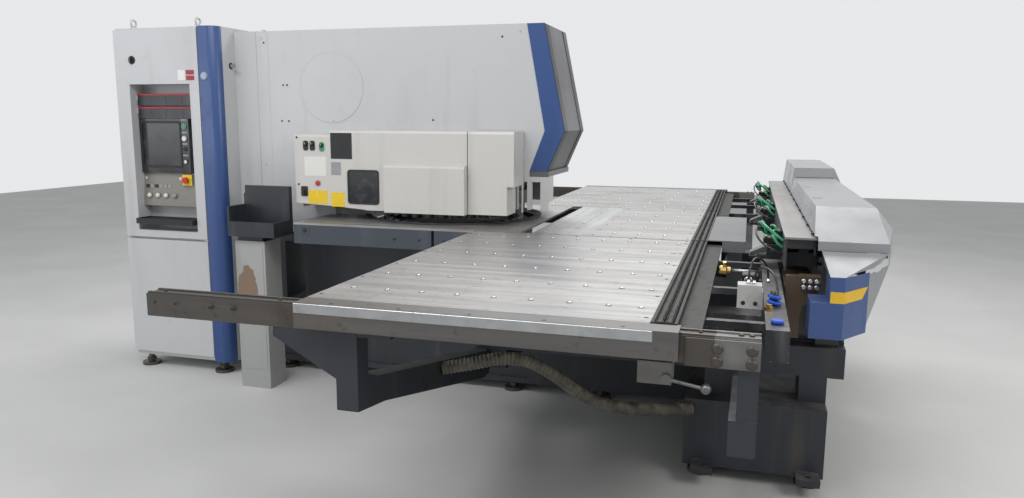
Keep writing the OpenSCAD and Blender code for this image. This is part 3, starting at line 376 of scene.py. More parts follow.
finishes = {
    # Sprayed panels and castings
    "light": satin_paint("light_panel_paint", (198, 199, 201), dirt=0.35, roughness=0.38),
    "cover": satin_paint("cover_paint", (208, 206, 202), dirt=0.35, roughness=0.36),
    "hood": satin_paint("hood_paint", (147, 150, 153), (110, 104, 94), dirt=0.4, roughness=0.34),
    "blue": satin_paint("blue_paint", (50, 79, 134), (150, 154, 164), dirt=0.2, roughness=0.34),
    "cap": satin_paint("cap_paint", (62, 86, 138), (130, 138, 156), dirt=0.3, roughness=0.38),
    "nose": satin_paint("nose_grey_paint", (97, 96, 100), dirt=0.3, roughness=0.4),
    # trim: dark navy; on the nose it is painted shade over the blue band's front strips
    "trim": satin_paint("dark_trim_and_painted_shade", (38, 39, 47), dirt=0.3, roughness=0.4),
    "slate": satin_paint("slate_paint", (68, 74, 84), (120, 120, 120), dirt=0.7, roughness=0.4),
    "charcoal": satin_paint("charcoal_paint", (44, 47, 53), (104, 104, 104), dirt=0.8),
    "machine": satin_paint("machine_paint", (47, 51, 58), (98, 90, 78), dirt=1.0, roughness=0.5),
    "grey_box": satin_paint("grey_box_paint", (114, 116, 121), dirt=1.0, roughness=0.4),
    "brown": satin_paint("brown_paint", (84, 66, 52), (132, 116, 98), dirt=0.9, roughness=0.45,
                         wear=0.7),
    "link": satin_paint("link_frame_paint", (38, 39, 42), (176, 178, 182), dirt=1.0,
                        roughness=0.36, wear=1.3),
    "side_cabinet": side_cabinet_paint(),

    # Bare metal
    "table": brushed_steel("table_steel", (164, 163, 162), "X", streak=0.9, stain=0.4,
                           stain_colour=(116, 104, 90), roughness=0.3, metallic=0.75),
    "insert": brushed_steel("insert_steel", (176, 176, 176), "Y", stain=0.25, roughness=0.3),
    "beam": brushed_steel("beam_steel", (112, 110, 108), "X", streak=0.4, stain=0.35,
                          stain_colour=(98, 84, 70), roughness=0.3, metallic=0.9),
    "rail": brushed_steel("rail_steel", (88, 84, 80), "X", streak=0.35, stain=0.6,
                          stain_colour=(66, 52, 40), roughness=0.42, metallic=0.7),
    "rail_and_plate": rail_and_plate_steel(),
    "bright": brushed_steel("bright_steel", (182, 184, 186), "Y", streak=0.3, stain=0.15,
                            roughness=0.25),
    "aluminium": brushed_steel("plate_aluminium", (144, 143, 142), "Y", stain=0.45,
                               stain_colour=(128, 118, 104), metallic=0.75),
    "gauge": brushed_steel("gauge_aluminium", (196, 196, 194), "Z", streak=0.25,
                           stain_colour=(150, 146, 138), roughness=0.35, metallic=0.35),
    "turret": brushed_steel("turret_steel", (104, 106, 108), "X", streak=0.2, stain=0.5,
                            roughness=0.38),
    "lever": brushed_steel("lever_steel", (112, 112, 112), "X", streak=0.2, stain=0.6,
                           stain_colour=(60, 54, 48), roughness=0.35),
    "chrome": chrome(),
    "brass": brass(),

    # Plastic, rubber, glass and film
    "oily": cast_plastic("oily_black", (30, 31, 33), 0.32),
    "black": cast_plastic("matt_black", (34, 35, 37), 0.55),
    "brush_body": cast_plastic("brush_body_black", (21, 21, 22), 0.6),
    "panel": cast_plastic("panel_foil", (132, 126, 120), 0.4, grain=0.15),
    "green_hose": plain_plastic("green_hose", (28, 142, 98), 0.25),
    "red": plain_plastic("red_plastic", (196, 32, 38)),
    "green": plain_plastic("green_plastic", (44, 148, 88)),
    "white": plain_plastic("white_plastic", (226, 226, 220)),
    "grey_plastic": plain_plastic("grey_plastic", (150, 152, 155), 0.4),
    "yellow_plate": plain_plastic("yellow_plate", (236, 200, 44), 0.4),
    "dark_red": plain_plastic("dark_red_plate", (150, 40, 52), 0.4),
    "blue_ring": plain_plastic("blue_ring", (28, 84, 200), 0.25),
    "pale_blue": plain_plastic("pale_blue_plastic", (146, 166, 200), 0.25),
    "bristle": bristle_black(),
    "hose": hose_grey(),
    "window": marked("smoked_glass", (30, 33, 38), (52, 55, 60), 18.0, 4.0, (0.45, 0.75),
                     0.1, 0.2, Coat_Weight=0.6),
    "screen": marked("screen_glass", (46, 46, 48), (70, 69, 70), 9.0, 5.0, (0.4, 0.8),
                     0.16, 0.25),
    "tape": marked("yellow_tape", (232, 186, 46), (160, 134, 66), 60.0, 4.0, (0.55, 0.75),
                   0.4, 0.25, share=0.5),
}

nodes_of_finish = {
    "machine": ("c_frame", "bed", "outriggers", "cross_beam", "clamp_carriage"),
    "light": ("upper_cover", "control_cabinet", "filler_panel", "upper_door", "lower_door"),
    "blue": ("nose_band", "cabinet_corner"),
    "nose": ("nose_face",),
    "cover": ("turret_covers", "turret_door"),
    "window": ("turret_window",),
    "side_cabinet": ("side_cabinet",),
    "slate": ("aprons",),
    "charcoal": ("tray_upright",),
    "hood": ("beam_cover",),
    "cap": ("end_caps",),
    "brown": ("end_brackets",),
    "grey_box": ("table_extension",),
    "link": ("link_frames",),
    "table": ("centre_table", "side_tables"),
    "insert": ("insert_plate",),
    "beam": ("edge_beams",),
    "rail": ("levelling_feet", "fasteners"),
    "rail_and_plate": ("table_rails",),
    "bright": ("key_switch", "struck_punch", "striker", "y_screw", "gauge_pin", "x_screw"),
    "aluminium": ("carriage_plate",),
    "gauge": ("gauge_cylinder",),
    "turret": ("upper_turret", "lower_turret", "clamp_jaws"),
    "lever": ("rail_lever",),
    "oily": ("door_lock", "clamp_bodies"),
    # turret_skirt in black is partly a real dark ring round the lower turret and partly painted
    # shade under the turret cover.
    "black": ("switch_plates", "centre_brush", "turret_skirt", "keyboard_shelf", "selector_knob"),
    "brush_body": ("side_brushes",),
    "panel": ("operator_panel",),
    "screen": ("screen_panel",),
    "hose": ("corrugated_hose",),
    "green_hose": ("air_hoses",),
    "red": ("estop_button", "cover_button"),
    "green": ("green_button",),
    "white": ("white_button",),
    "pale_blue": ("corner_button",),
}
finish_of_node = {node: finish for finish, names in nodes_of_finish.items() for node in names}

# Every CAD node gets its finish, and its sheet edges a small real rounding
edge_round = {"control_cabinet": 0.002, "upper_cover": 0.0025, "turret_covers": 0.0025,
              "turret_door": 0.0025, "beam_cover": 0.002, "end_caps": 0.004, "edge_beams": 0.0015}
default_round = 0.001
weld_distance = 0.00001
sharp_angle = math.radians(38)
for name, node in nodes.items():
    node.data.materials.clear()
    node.data.materials.append(finishes[finish_of_node[name]].material)
    weld = node.modifiers.new("weld", "WELD")
    weld.merge_threshold = weld_distance
    soften = node.modifiers.new("rounded edges", "BEVEL")
    soften.width = edge_round.get(name, default_round)
    soften.segments = 2
    soften.limit_method = "ANGLE"
    soften.angle_limit = sharp_angle
    soften.use_clamp_overlap = True
    soften.harden_normals = True


# Shapes for the small pieces
class Shape:
    """Collects solids into one mesh; each solid gets one of the piece's finishes."""

    def __init__(self):
        self.mesh = bmesh.new()
        self.names = []

    def paint(self, faces, finish, smooth=False):
        if finish not in self.names:
            self.names.append(finish)
        for face in faces:
            face.material_index = self.names.index(finish)
            face.smooth = smooth

    def loop(self, points):
        return [self.mesh.verts.new(point) for point in points]

    def circle(self, middle, side, other, radius, sides):
        """Corners round a middle, in the plane of its side and other directions."""
        angles = [step * math.tau / sides for step in range(sides)]
        return self.loop(middle + (side * math.cos(angle) + other * math.sin(angle)) * radius
                         for angle in angles)

    def ends(self, loops):
        """The closing faces of a row of loops, none where it ends in a tip."""
        return [self.mesh.faces.new(loop) for loop in (loops[0][::-1], loops[-1])
                if len(loop) > 1]

    def walls(self, loops):
        """The faces between each loop and the next; a loop of one corner is a tip."""
        faces = []
        for lower, upper in zip(loops, loops[1:]):
            count = max(len(lower), len(upper))
            for index in range(count):
                after = (index + 1) % count
                if len(lower) == 1:
                    corners = (lower[0], upper[after], upper[index])
                elif len(upper) == 1:
                    corners = (lower[index], lower[after], upper[0])
                else:
                    corners = (lower[index], lower[after], upper[after], upper[index])
                faces.append(self.mesh.faces.new(corners))
        return faces

    def prism(self, outline, direction, finish):
        """A closed outline of points, carried along a vector."""
        direction = Vector(direction)
        loops = [self.loop(outline), self.loop(Vector(point) + direction for point in outline)]
        self.paint(self.ends(loops) + self.walls(loops), finish)

    def box(self, low, high, finish, chamfer=0.0):
        """A block with its edges cut back by the chamfer, standing along its thinnest side."""
        low, high = Vector(low), Vector(high)
        size = high - low
        thin = min(range(3), key=lambda axis: size[axis])
        across, along = [axis for axis in range(3) if axis != thin]
        cut = min(chamfer, 0.45 * min(size))
        levels = ((0.0, cut), (cut, 0.0), (size[thin] - cut, 0.0), (size[thin], cut))
        loops = []
        for height, inset in levels if cut else levels[::3]:
            corners = []
            for far_a, far_b in ((0, 0), (1, 0), (1, 1), (0, 1)):
                for first in (True, False) if cut else (True,):
                    a = high[across] - inset if far_a else low[across] + inset
                    b = high[along] - inset if far_b else low[along] + inset
                    if first == (far_a == far_b):
                        b += -cut if far_b else cut
                    else:
                        a += -cut if far_a else cut
                    point = low.copy()
                    point[thin] += height
                    point[across], point[along] = a, b
                    corners.append(point)
            loops.append(self.loop(corners))
        self.paint(self.ends(loops) + self.walls(loops), finish)

    def ring(self, outer, inner, direction, finish):
        """A flat frame between two outlines of as many points, carried along a vector."""
        direction = Vector(direction)
        loops = [self.loop(Vector(point) + lift for point in outline)
                 for outline, lift in ((outer, Vector()), (outer, direction),
                                       (inner, direction), (inner, Vector()))]
        self.paint(self.walls(loops + loops[:1]), finish)

    def turned(self, centre, axis, profile, finish, sides=20, smooth=True):
        """A turned piece: profile is a list of (distance along the axis, radius)."""
        centre, axis = Vector(centre), Vector(axis).normalized()
        side = axis.orthogonal().normalized()
        other = axis.cross(side)
        loops = []
        for along, radius in profile:
            middle = centre + axis * along
            loops.append(self.circle(middle, side, other, radius, sides) if radius
                         else self.loop([middle]))
        self.paint(self.ends(loops), finish)
        self.paint(self.walls(loops), finish, smooth)

    def tube(self, points, radius, finish, sides=10, ribs=None):
        """A round tube along smooth points; ribs gives (pitch, height) of a corrugated wall."""
        points = [Vector(point) for point in points]
        side = Vector((0, 0, 1))
        loops = []
        travelled = 0.0
        for index, point in enumerate(points):
            ahead = points[min(index + 1, len(points) - 1)]
            behind = points[max(index - 1, 0)]
            along = (ahead - behind).normalized()
            side = side - along * side.dot(along)
            if side.length < 0.001:
                side = along.orthogonal()
            side.normalize()
            if index:
                travelled += (point - points[index - 1]).length
            wide = radius
            if ribs:
                pitch, height = ribs
                wide = radius - height / 2 + height / 2 * math.cos(travelled / pitch * math.tau)
            loops.append(self.circle(point, side, along.cross(side), wide, sides))
        self.paint(self.walls(loops), finish, True)
        self.paint(self.ends(loops), finish)

    def bezel(self, place, out, base, outer, height, lip, bore, finish, sides=24):
        """A round collar: straight up to base, cut in to its lip at height, down to its bore."""
        self.turned(place, out, [(0, outer), (base, outer), (height, lip), (height, bore)],
                    finish, sides)

    def cap_screw(self, place, out, diameter, finish="chrome", sides=16):
        """A socket head screw: chamfered head with a six sided hole."""
        radius = diameter / 2
        height = diameter * 0.55
        self.bezel(place, out, height * 0.85, radius, height, radius * 0.86, radius * 0.5,
                   finish, sides)
        self.turned(Vector(place) + Vector(out).normalized() * height * 0.62, out,
                    [(0, radius * 0.52), (0.0004, radius * 0.5)], "black", 6, False)

    def hex_bolt(self, place, out, across, finish="bright"):
        """A hexagon bolt head on its washer."""
        self.turned(place, out, [(0, across * 0.92), (across * 0.12, across * 0.92),
                                 (across * 0.15, across * 0.86)], finish)
        self.turned(Vector(place) + Vector(out).normalized() * across * 0.15, out,
                    [(0, across * 0.577), (across * 0.5, across * 0.577),
                     (across * 0.6, across * 0.48)], finish, 6, False)

    def dome(self, place, out, diameter, finish="black", flat=0.35):
        """A low round head or plug."""
        radius = diameter / 2
        angles = [step / 4 * math.pi / 2 for step in range(4)]
        profile = [(radius * flat * math.sin(angle), radius * math.cos(angle))
                   for angle in angles]
        self.turned(place, out, [*profile, (radius * flat, 0.0)], finish, 14)

    def piece(self, name, body, slot):
        """Makes the object and rides it on its body; its slot is not used."""
        mesh = bpy.data.meshes.new(name)
        bmesh.ops.recalc_face_normals(self.mesh, faces=self.mesh.faces)
        self.mesh.to_mesh(mesh)
        self.mesh.free()
        for finish in self.names:
            mesh.materials.append(finishes[finish].material)
        made = bpy.data.objects.new(name, mesh)
        bpy.context.scene.collection.objects.link(made)
        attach(made, body)
        return made


def smooth_route(points, step):
    """Points along a Catmull-Rom curve through the given ones, about step apart."""
    points = [Vector(point) for point in points]
    padded = [points[0] * 2 - points[1], *points, points[-1] * 2 - points[-2]]
    route = []
    for index in range(len(points) - 1):
        before, start, end, after = padded[index:index + 4]
        count = max(2, round((end - start).length / step))
        for part in range(count):
            t = part / count
            route.append(0.5 * ((2 * start) + (end - before) * t
                                + (2 * before - 5 * start + 4 * end - after) * t * t
                                + (3 * start - before - 3 * end + after) * t ** 3))
    route.append(points[-1])
    return route


def route_length(route):
    return sum((after - before).length for before, after in zip(route, route[1:]))


# Hoses first: their routes repeat the points of the construction
clamp_places = (-1.100, 0.080, 1.220)
hose_step = 0.0035
thin_hose_step = 0.006
hose_radius = 0.030
hose_ribs = (0.017, 0.005)
hose_route = smooth_route([
    at(0.578, -1.690, 0.600), at(0.700, -1.655, 0.622), at(0.820, -1.605, 0.640),
    at(0.930, -1.555, 0.620), at(1.030, -1.495, 0.548), at(1.115, -1.430, 0.462),
    at(1.210, -1.365, 0.398), at(1.330, -1.295, 0.362), at(1.450, -1.225, 0.346),
    at(1.590, -1.130, 0.330)], hose_step)
hose = Shape()
hose.tube(hose_route, hose_radius, "hose", sides=20, ribs=hose_ribs)
hose_piece = hose.piece("corrugated_drain_hose", "press", "hose_grey")
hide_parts("corrugated_hose")
route_length(hose_route)


def thin_hose(name, body, slot, turns, radius, finish, sides=10, stands_for=None):
    """A flexible hose along smooth turns, counted from the turret axis."""
    route = smooth_route([at(*turn) for turn in turns], thin_hose_step)
    tube = Shape()
    tube.tube(route, radius, finish, sides)
    piece = tube.piece(name, body, slot)
    if stands_for:
        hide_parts(stands_for)
    route_length(route)
    return route


air_hose_radius = 0.006
air_hose_turns = ((1.936, 0.0452, 1.150), (1.920, 0.066, 1.180), (1.906, 0.100, 1.186),
                  (1.904, 0.150, 1.172), (1.918, 0.190, 1.152), (1.9448, 0.205, 1.130))
for number, clamp_y in enumerate(clamp_places, 1):
    for side, word in ((-1, "near"), (1, "far")):
        thin_hose(f"air_hose_{number}_{word}", "clamp_carriage", "hose_green",
                  [(x, clamp_y + side * along, z) for x, along, z in air_hose_turns],
                  air_hose_radius, "green_hose", sides=12,
                  stands_for="air_hoses" if (side, number) == (-1, 1) else None)


# Table hardware: ball seats, countersunk screws, bristles, and bright strips that are a painted
# highlight along the edge beams' top edges
ball_pitch = 0.280
seat_lip = 0.0009
screw_head = 0.0005


def ball_seats(name, body, xs, ys):
    seats = Shape()
    for x in xs:
        for y in ys:
            place = at(x, y, table_z)
            seats.turned(place, upward, [(0, 0.0115), (seat_lip, 0.0110), (0.0011, 0.0082)],
                         "beam", 18)
            seats.dome(place + Vector((0, 0, seat_lip)), upward, 0.0155, "chrome", 0.45)
    return seats.piece(name, body, "bright_steel")


def flush_screws(name, body, places):
    screws = Shape()
    for x, y in places:
        place = at(x, y, table_z)
        screws.turned(place, upward, [(0, 0.0075), (screw_head, 0.0072)], "rail", 14)
        screws.turned(place + Vector((0, 0, screw_head)), upward,
                      [(0, 0.0036), (0.0003, 0.0034)], "black", 6, False)
    return screws.piece(name, body, "bright_steel")


ball_seats("centre_ball_seats", "press", (1.120, 1.253, 1.386),
           [step * ball_pitch for step in range(-2, 3)])
side_ball_x = (0.450, 0.582, 0.714, 0.846, 0.978, 1.110, 1.242, 1.374, 1.480)
side_inner_y = 0.705
for word, side in (("near", -1), ("far", 1)):
    ball_seats(f"{word}_ball_seats", "table_carriage", side_ball_x,
               [side * (side_inner_y + 0.120 + step * ball_pitch) for step in range(6)])
    flush_screws(f"{word}_table_screws", "table_carriage",
                 [(x, side * y) for x in (0.392, 1.512)
                  for y in (0.80, 1.11, 1.42, 1.73, 2.04, 2.35)]
                 + [(0.392 + step * 0.28, side * 0.728) for step in range(5)]
                 + [(0.50 + step * 0.24, side * 2.478) for step in range(5)])
flush_screws("centre_table_screws", "press",
             [(x, side * 0.62) for x in (0.30, 0.60) for side in (-1, 1)]
             + [(x, step * 0.215) for x in (1.020, 1.510) for step in range(-3, 4)]
             + [(x, side * 0.672) for x in (1.12, 1.25, 1.39) for side in (-1, 1)])

bristle_pitch = 0.0105
blade_pitch = 0.0022
bristle_rng = random.Random(7)


def bristles(name, body, y0, y1):
    """Rows of tufts that stand up out of the channel and lean a little towards each other."""
    brush = Shape()
    count = round((y1 - y0) / bristle_pitch)
    for row_x, lean in ((1.551, -1), (1.5635, 1), (1.579, -1), (1.5915, 1)):
        for step in range(count):
            y = y0 + (step + 0.5) * bristle_pitch
            for blade in range(4):
                spread = (blade - 1.5) * blade_pitch
                foot = at(row_x + bristle_rng.uniform(-0.002, 0.002), y + spread, table_z - 0.016)
                tip = foot + Vector((lean * bristle_rng.uniform(0.001, 0.004),
                                     spread * 0.6 + bristle_rng.uniform(-0.001, 0.001),
                                     0.0165 + bristle_rng.uniform(0.003, 0.0065)))
                brush.turned(foot, tip - foot, [(0, 0.0017), ((tip - foot).length, 0.0006)],
                             "bristle", 4, False)
    return brush.piece(name, body, "brush_black")


bristles("near_bristles", "table_carriage", -2.396, -0.708)
bristles("centre_bristles", "press", -0.680, 0.680)
bristles("far_bristles", "table_carriage", 0.708, 2.396)

beam_face_y = 2.501
side_x0 = 0.372
side_x1 = 1.530
# Painted highlight: a bright steel strip on each edge beam's face stands for the light caught along
# the table's rounded top edge.
for word, side in (("near", -1), ("far", 1)):
    strip = Shape()
    low, high = sorted((side * (beam_face_y - 0.0005), side * (beam_face_y + 0.0022)))
    strip.box(at(side_x0, low, 1.0185), at(side_x1 + 0.018, high, 1.0515), "bright", 0.0012)
    strip.piece(f"{word}_edge_highlight_strip", "table_carriage", "bright_steel")

# Bolts of the rail end plates, with ribbed heads, and the rail's own screws
rail_face_y = 2.466
rail_side_y = 2.456
rail_top_z = 1.034
end_plate_y = 2.426
bolts = Shape()
for side in (-1, 1):
    for x in (1.731, 1.827):
        for z in (0.966, 1.005):
            place = at(x, side * rail_face_y, z)
            bolts.turned(place, (0, side, 0),
                         [(0, 0.0165), (0.0015, 0.0165), (0.0015, 0.0145), (0.009, 0.0140),
                          (0.010, 0.0125), (0.010, 0.0070)], "rail", 24)
            bolts.turned(place + Vector((0, side * 0.0080, 0)), (0, side, 0),
                         [(0, 0.0072), (0.0004, 0.0070)], "black", 6, False)
    for x in (1.795, 1.825):
        bolts.hex_bolt(at(x, side * end_plate_y, rail_top_z), upward, 0.014, "rail")
bolts_piece = bolts.piece("rail_bolts", "press", "rail_steel")
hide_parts("fasteners")

rail_trim = Shape()
for side in (-1, 1):
    for step in range(5):
        rail_trim.cap_screw(at(-0.20 + step * 0.47, side * (rail_side_y - 0.040), rail_top_z),
                            upward, 0.012, "black", 12)
    for x in (-0.215, -0.13, 0.02, 0.11):
        rail_trim.dome(at(x, side * (rail_face_y if x > 0 else rail_side_y), 1.004),
                       (0, side, 0), 0.013)
rail_trim.piece("rail_screws", "press", "rail_steel")


def rounded_outline(x0, x1, z0, z1, radius, y, steps=5):
    """Outline with round corners in a wall that faces the operator."""
    left, right_side, low, high = x0 + radius, x1 - radius, z0 + radius, z1 - radius
    points = []
    for middle_x, middle_z, start in ((right_side, low, -90), (right_side, high, 0),
                                      (left, high, 90), (left, low, 180)):
        for step in range(steps + 1):
            angle = math.radians(start + 90 * step / steps)
            points.append(at(middle_x + radius * math.cos(angle), y,
                             middle_z + radius * math.sin(angle)))
    return points


# Turret cover: bare plates, switches with their knobs, window seal and corner screws
cover_y = -0.475
plates = Shape()
for x0, x1, z0, z1, thick, finish in (
        (-0.605, -0.465, 1.415, 1.568, 0.0020, "black"),
        (-0.605, -0.541, 1.319, 1.395, 0.0016, "grey_plastic"),
        (-0.767, -0.634, 1.142, 1.223, 0.0012, "yellow_plate"),
        (-0.612, -0.521, 1.128, 1.215, 0.0012, "yellow_plate"),
        (-0.785, -0.640, 1.310, 1.425, 0.0014, "white")):
    plates.box(at(x0, cover_y - thick, z0), at(x1, cover_y, z1), finish, 0.0005)
switch_base = 0.004
switch_corner = 0.012
for x0, x1, z0, z1, finish in (
        (-0.789, -0.755, 1.462, 1.520, "black"), (-0.744, -0.710, 1.462, 1.520, "black"),
        (-0.680, -0.648, 1.458, 1.512, "green")):
    plates.prism(rounded_outline(x0, x1, z0, z1, switch_corner, cover_y),
                 (0, -switch_base, 0), finish)
    middle = at((x0 + x1) / 2, cover_y - switch_base, z1 - 0.019)
    plates.turned(middle, outward,
                  [(0, 0.0125), (0.003, 0.0125), (0.004, 0.0100), (0.012, 0.0095),
                   (0.013, 0.0080)], "black")
    plates.box(middle + Vector((-0.0012, -0.0136, -0.002)),
               middle + Vector((0.0012, -0.0128, 0.009)), "white")
plates.ring(rounded_outline(-0.812, -0.768, 1.186, 1.246, 0.006, cover_y),
            rounded_outline(-0.8055, -0.7705, 1.1925, 1.2275, 0.0172, cover_y),
            (0, -0.005, 0), "black")
plates_piece = plates.piece("cover_plates", "press", "black_plastic")
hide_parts("switch_plates")

seal = Shape()
seal.ring(rounded_outline(-0.499, -0.293, 1.148, 1.353, 0.020, cover_y),
          rounded_outline(-0.489, -0.303, 1.158, 1.343, 0.012, cover_y), (0, -0.004, 0), "black")
for x, z in ((-0.832, 1.539), (-0.829, 1.257)):
    seal.dome(at(x, cover_y, z), outward, 0.014, "black", 0.5)
seal.bezel(at(-0.697, cover_y - 0.0002, 1.267), outward, 0.002, 0.0185, 0.003, 0.0165, 0.0135,
           "grey_plastic")
seal.piece("cover_window_seal", "press", "black_plastic")

# Tall body cover: screws and plugs in its near side
body_y = -0.265
studs = Shape()
for x, z in ((-1.043, 1.858), (-1.015, 1.858), (-1.061, 1.635), (-1.011, 1.635),
             (-0.693, 1.636), (-0.032, 1.646), (0.40, 2.120), (-1.17, 2.120)):
    studs.dome(at(x, body_y, z), outward, 0.013)
studs.piece("body_cover_screws", "press", "black_plastic")

# Nose: painted shade along both edges of the grey face, as dark strips where the blue band wraps
# round onto the front
nose_line = ((0.6476, 2.1868), (0.773, 1.588), (0.673, 1.355))
nose_half = 0.2644
shade_strip_width = 0.085
shade_strip_thick = 0.003
nose_shade_strips = Shape()
for start in (-nose_half, nose_half - shade_strip_width):
    outer = [at(x + shade_strip_thick, start, z) for x, z in nose_line]
    inner = [at(x + 0.0002, start, z) for x, z in reversed(nose_line)]
    nose_shade_strips.prism(outer[:2] + inner[1:], (0, shade_strip_width, 0), "trim")
    nose_shade_strips.prism(outer[1:] + inner[:2], (0, shade_strip_width, 0), "trim")
nose_shade_strips.piece("nose_band_shade_strips", "press", "blue_paint")

# Upper cabinet door: document strips, screen frame, panel buttons and bare plates
door_y = -0.495
strip_y = -0.4412
recess_x0, recess_x1 = -2.003, -1.562
strips = Shape()
for top in (1.718, 1.800):
    strips.box(at(recess_x0, strip_y, top - 0.072), at(recess_x1, strip_y + 0.0020, top - 0.008),
               "charcoal", 0.0008)
    strips.box(at(recess_x0, strip_y - 0.0028, top - 0.010),
               at(recess_x1, strip_y + 0.0032, top + 0.003), "dark_red", 0.0015)
    for x in (-1.900, -1.790, -1.665):
        strips.box(at(x, strip_y - 0.0008, top - 0.060),
                   at(x + 0.003, strip_y + 0.0007, top - 0.012), "black", 0.0005)
strips.piece("document_strips", "cabinet_door", "red_plastic")

screen_y = -0.435
column_x = -1.665
panel = Shape()
panel.ring(rounded_outline(-2.000, -1.690, 1.333, 1.632, 0.016, screen_y),
           rounded_outline(-1.986, -1.702, 1.347, 1.618, 0.010, screen_y), (0, -0.003, 0), "black")
for z in (1.595, 1.521):
    panel.bezel(at(column_x, screen_y, z), outward, 0.004, 0.0195, 0.006, 0.0175, 0.0156,
                "grey_plastic")
for z, finish in ((1.455, "black"), (1.373, "white")):
    panel.dome(at(column_x, screen_y - 0.006, z), outward, 0.024, finish, 0.3)
for z in (1.640, 1.560, 1.488, 1.415):
    panel.box(at(column_x - 0.020, screen_y - 0.0012, z - 0.006),
              at(column_x + 0.020, screen_y, z + 0.004), "grey_plastic", 0.0004)
panel.piece("screen_frame", "cabinet_door", "black_plastic")

stop_x, stop_y = -1.667, -0.4330
knob_y = -0.4385
key_y = -0.4270
console = Shape()
console.box(at(stop_x - 0.037, stop_y, 1.2205), at(stop_x + 0.036, stop_y + 0.0020, 1.2900),
            "yellow_plate", 0.0008)
console.bezel(at(stop_x, stop_y, 1.255), outward, 0.004, 0.026, 0.006, 0.023, 0.0125,
              "yellow_plate", 28)
for x, finish in ((-1.961, "white"), (-1.897, "white"), (-1.834, "white"),
                  (-1.767, "grey_plastic")):
    console.turned(at(x, knob_y, 1.152), outward,
                   [(0, 0.0155), (0.003, 0.0150), (0.003, 0.0110), (0.008, 0.0105),
                    (0.010, 0.0085)], finish)
for column in range(6):
    x = -1.993 + column * 0.034
    console.box(at(x, key_y, 1.2005), at(x + 0.026, key_y + 0.0024, 1.2220),
                "black" if column in (0, 2) else "grey_plastic", 0.001)
console.dome(at(-1.730, -0.417, 1.262), outward, 0.022, "white")
console.dome(at(-1.994, -0.416, 1.262), outward, 0.020, "white")
console.piece("operator_panel_buttons", "cabinet_door", "grey_paint")

plate_film = 0.0012
door_plates = Shape()
door_plates.box(at(-1.640, door_y - plate_film, 1.882), at(-1.588, door_y, 1.944), "white", 0.0003)
for z in (1.882, 1.916):
    door_plates.box(at(-1.580, door_y - plate_film, z), at(-1.520, door_y, z + 0.028),
                    "dark_red", 0.0003)
door_plates.bezel(at(-1.979, door_y, 2.010), outward, 0.002, 0.026, 0.003, 0.024, 0.0202,
                  "black", 28)
door_plates.piece("door_plates", "cabinet_door", "white_plastic")

# Cabinet: rings round its push button and its key switch, feet of the lifting eyes
cabinet_side_x = -1.359
cabinet_roof_z = 2.2212
post = Shape()
post.bezel(at(-1.447, door_y, 1.906), outward, 0.003, 0.026, 0.005, 0.0235, 0.0203,
           "grey_plastic", 28)
post.bezel(at(cabinet_side_x, -0.348, 1.974), (1, 0, 0), 0.003, 0.020, 0.004, 0.018, 0.0122,
           "black")
for x in (-2.033, -1.547):
    for y in (-0.395, 0.315):
        post.turned(at(x, y, cabinet_roof_z), upward, [(0, 0.020), (0.004, 0.019), (0.006, 0.013)],
                    "bright")
post.piece("cabinet_rings", "press", "grey_paint")

# Beam cover: two slots in its top, plug holes in its left face, a navy line at the step
hood_top_z = 1.307
hood_left_x = 2.0548
hood_marks = Shape()
for x, y in ((2.071, -0.290), (2.077, -0.917)):
    hood_marks.box(at(x, y, hood_top_z - 0.0005), at(x + 0.040, y + 0.014, hood_top_z + 0.0006),
                   "black")
for step in range(5):
    hood_marks.turned(at(hood_left_x, -1.18 + step * 0.33, 1.264), (-1, 0, 0.2),
                      [(0, 0.0075), (0.0008, 0.0072)], "black", 14)
hood_marks.box(at(2.070, 0.440, hood_top_z - 0.0005), at(2.290, 0.452, hood_top_z + 0.0030),
               "trim", 0.001)
hood_marks.piece("beam_cover_marks", "table_carriage", "blue_paint")

# End cap: band of yellow tape over its front and its cut corner
cap_x0, cap_corner_x, cap_end_x = 2.091, 2.142, 2.240
cap_y, cap_end_y = -1.750, -1.603
tape_z0, tape_z1 = 1.0055, 1.047
tape_film = 0.0006
chamfer = Vector((cap_end_x - cap_corner_x, cap_end_y - cap_y, 0))
off = Vector((chamfer.y, -chamfer.x, 0)).normalized() * tape_film
corner_low, corner_high = at(cap_corner_x, cap_y, tape_z0), at(cap_corner_x, cap_y, tape_z1)
tape = Shape()
tape.prism([at(cap_x0 + 0.004, cap_y, tape_z0), corner_low, corner_high,
            at(cap_x0 + 0.004, cap_y, tape_z1)], (0, -tape_film, 0), "tape")
tape.prism([corner_low, corner_low + chamfer * 0.74, corner_high + chamfer * 0.96, corner_high],
           off, "tape")
tape.piece("cap_tape", "table_carriage", "blue_paint")

bracket_face_y = -1.5705
bracket_bolts = Shape()
for x in (2.015, 2.038, 2.061):
    for z in (1.024, 1.048):
        bracket_bolts.cap_screw(at(x, bracket_face_y, z), outward, 0.019, "chrome", 20)
bracket_bolts.piece("bracket_bolts", "table_carriage", "bright_steel")

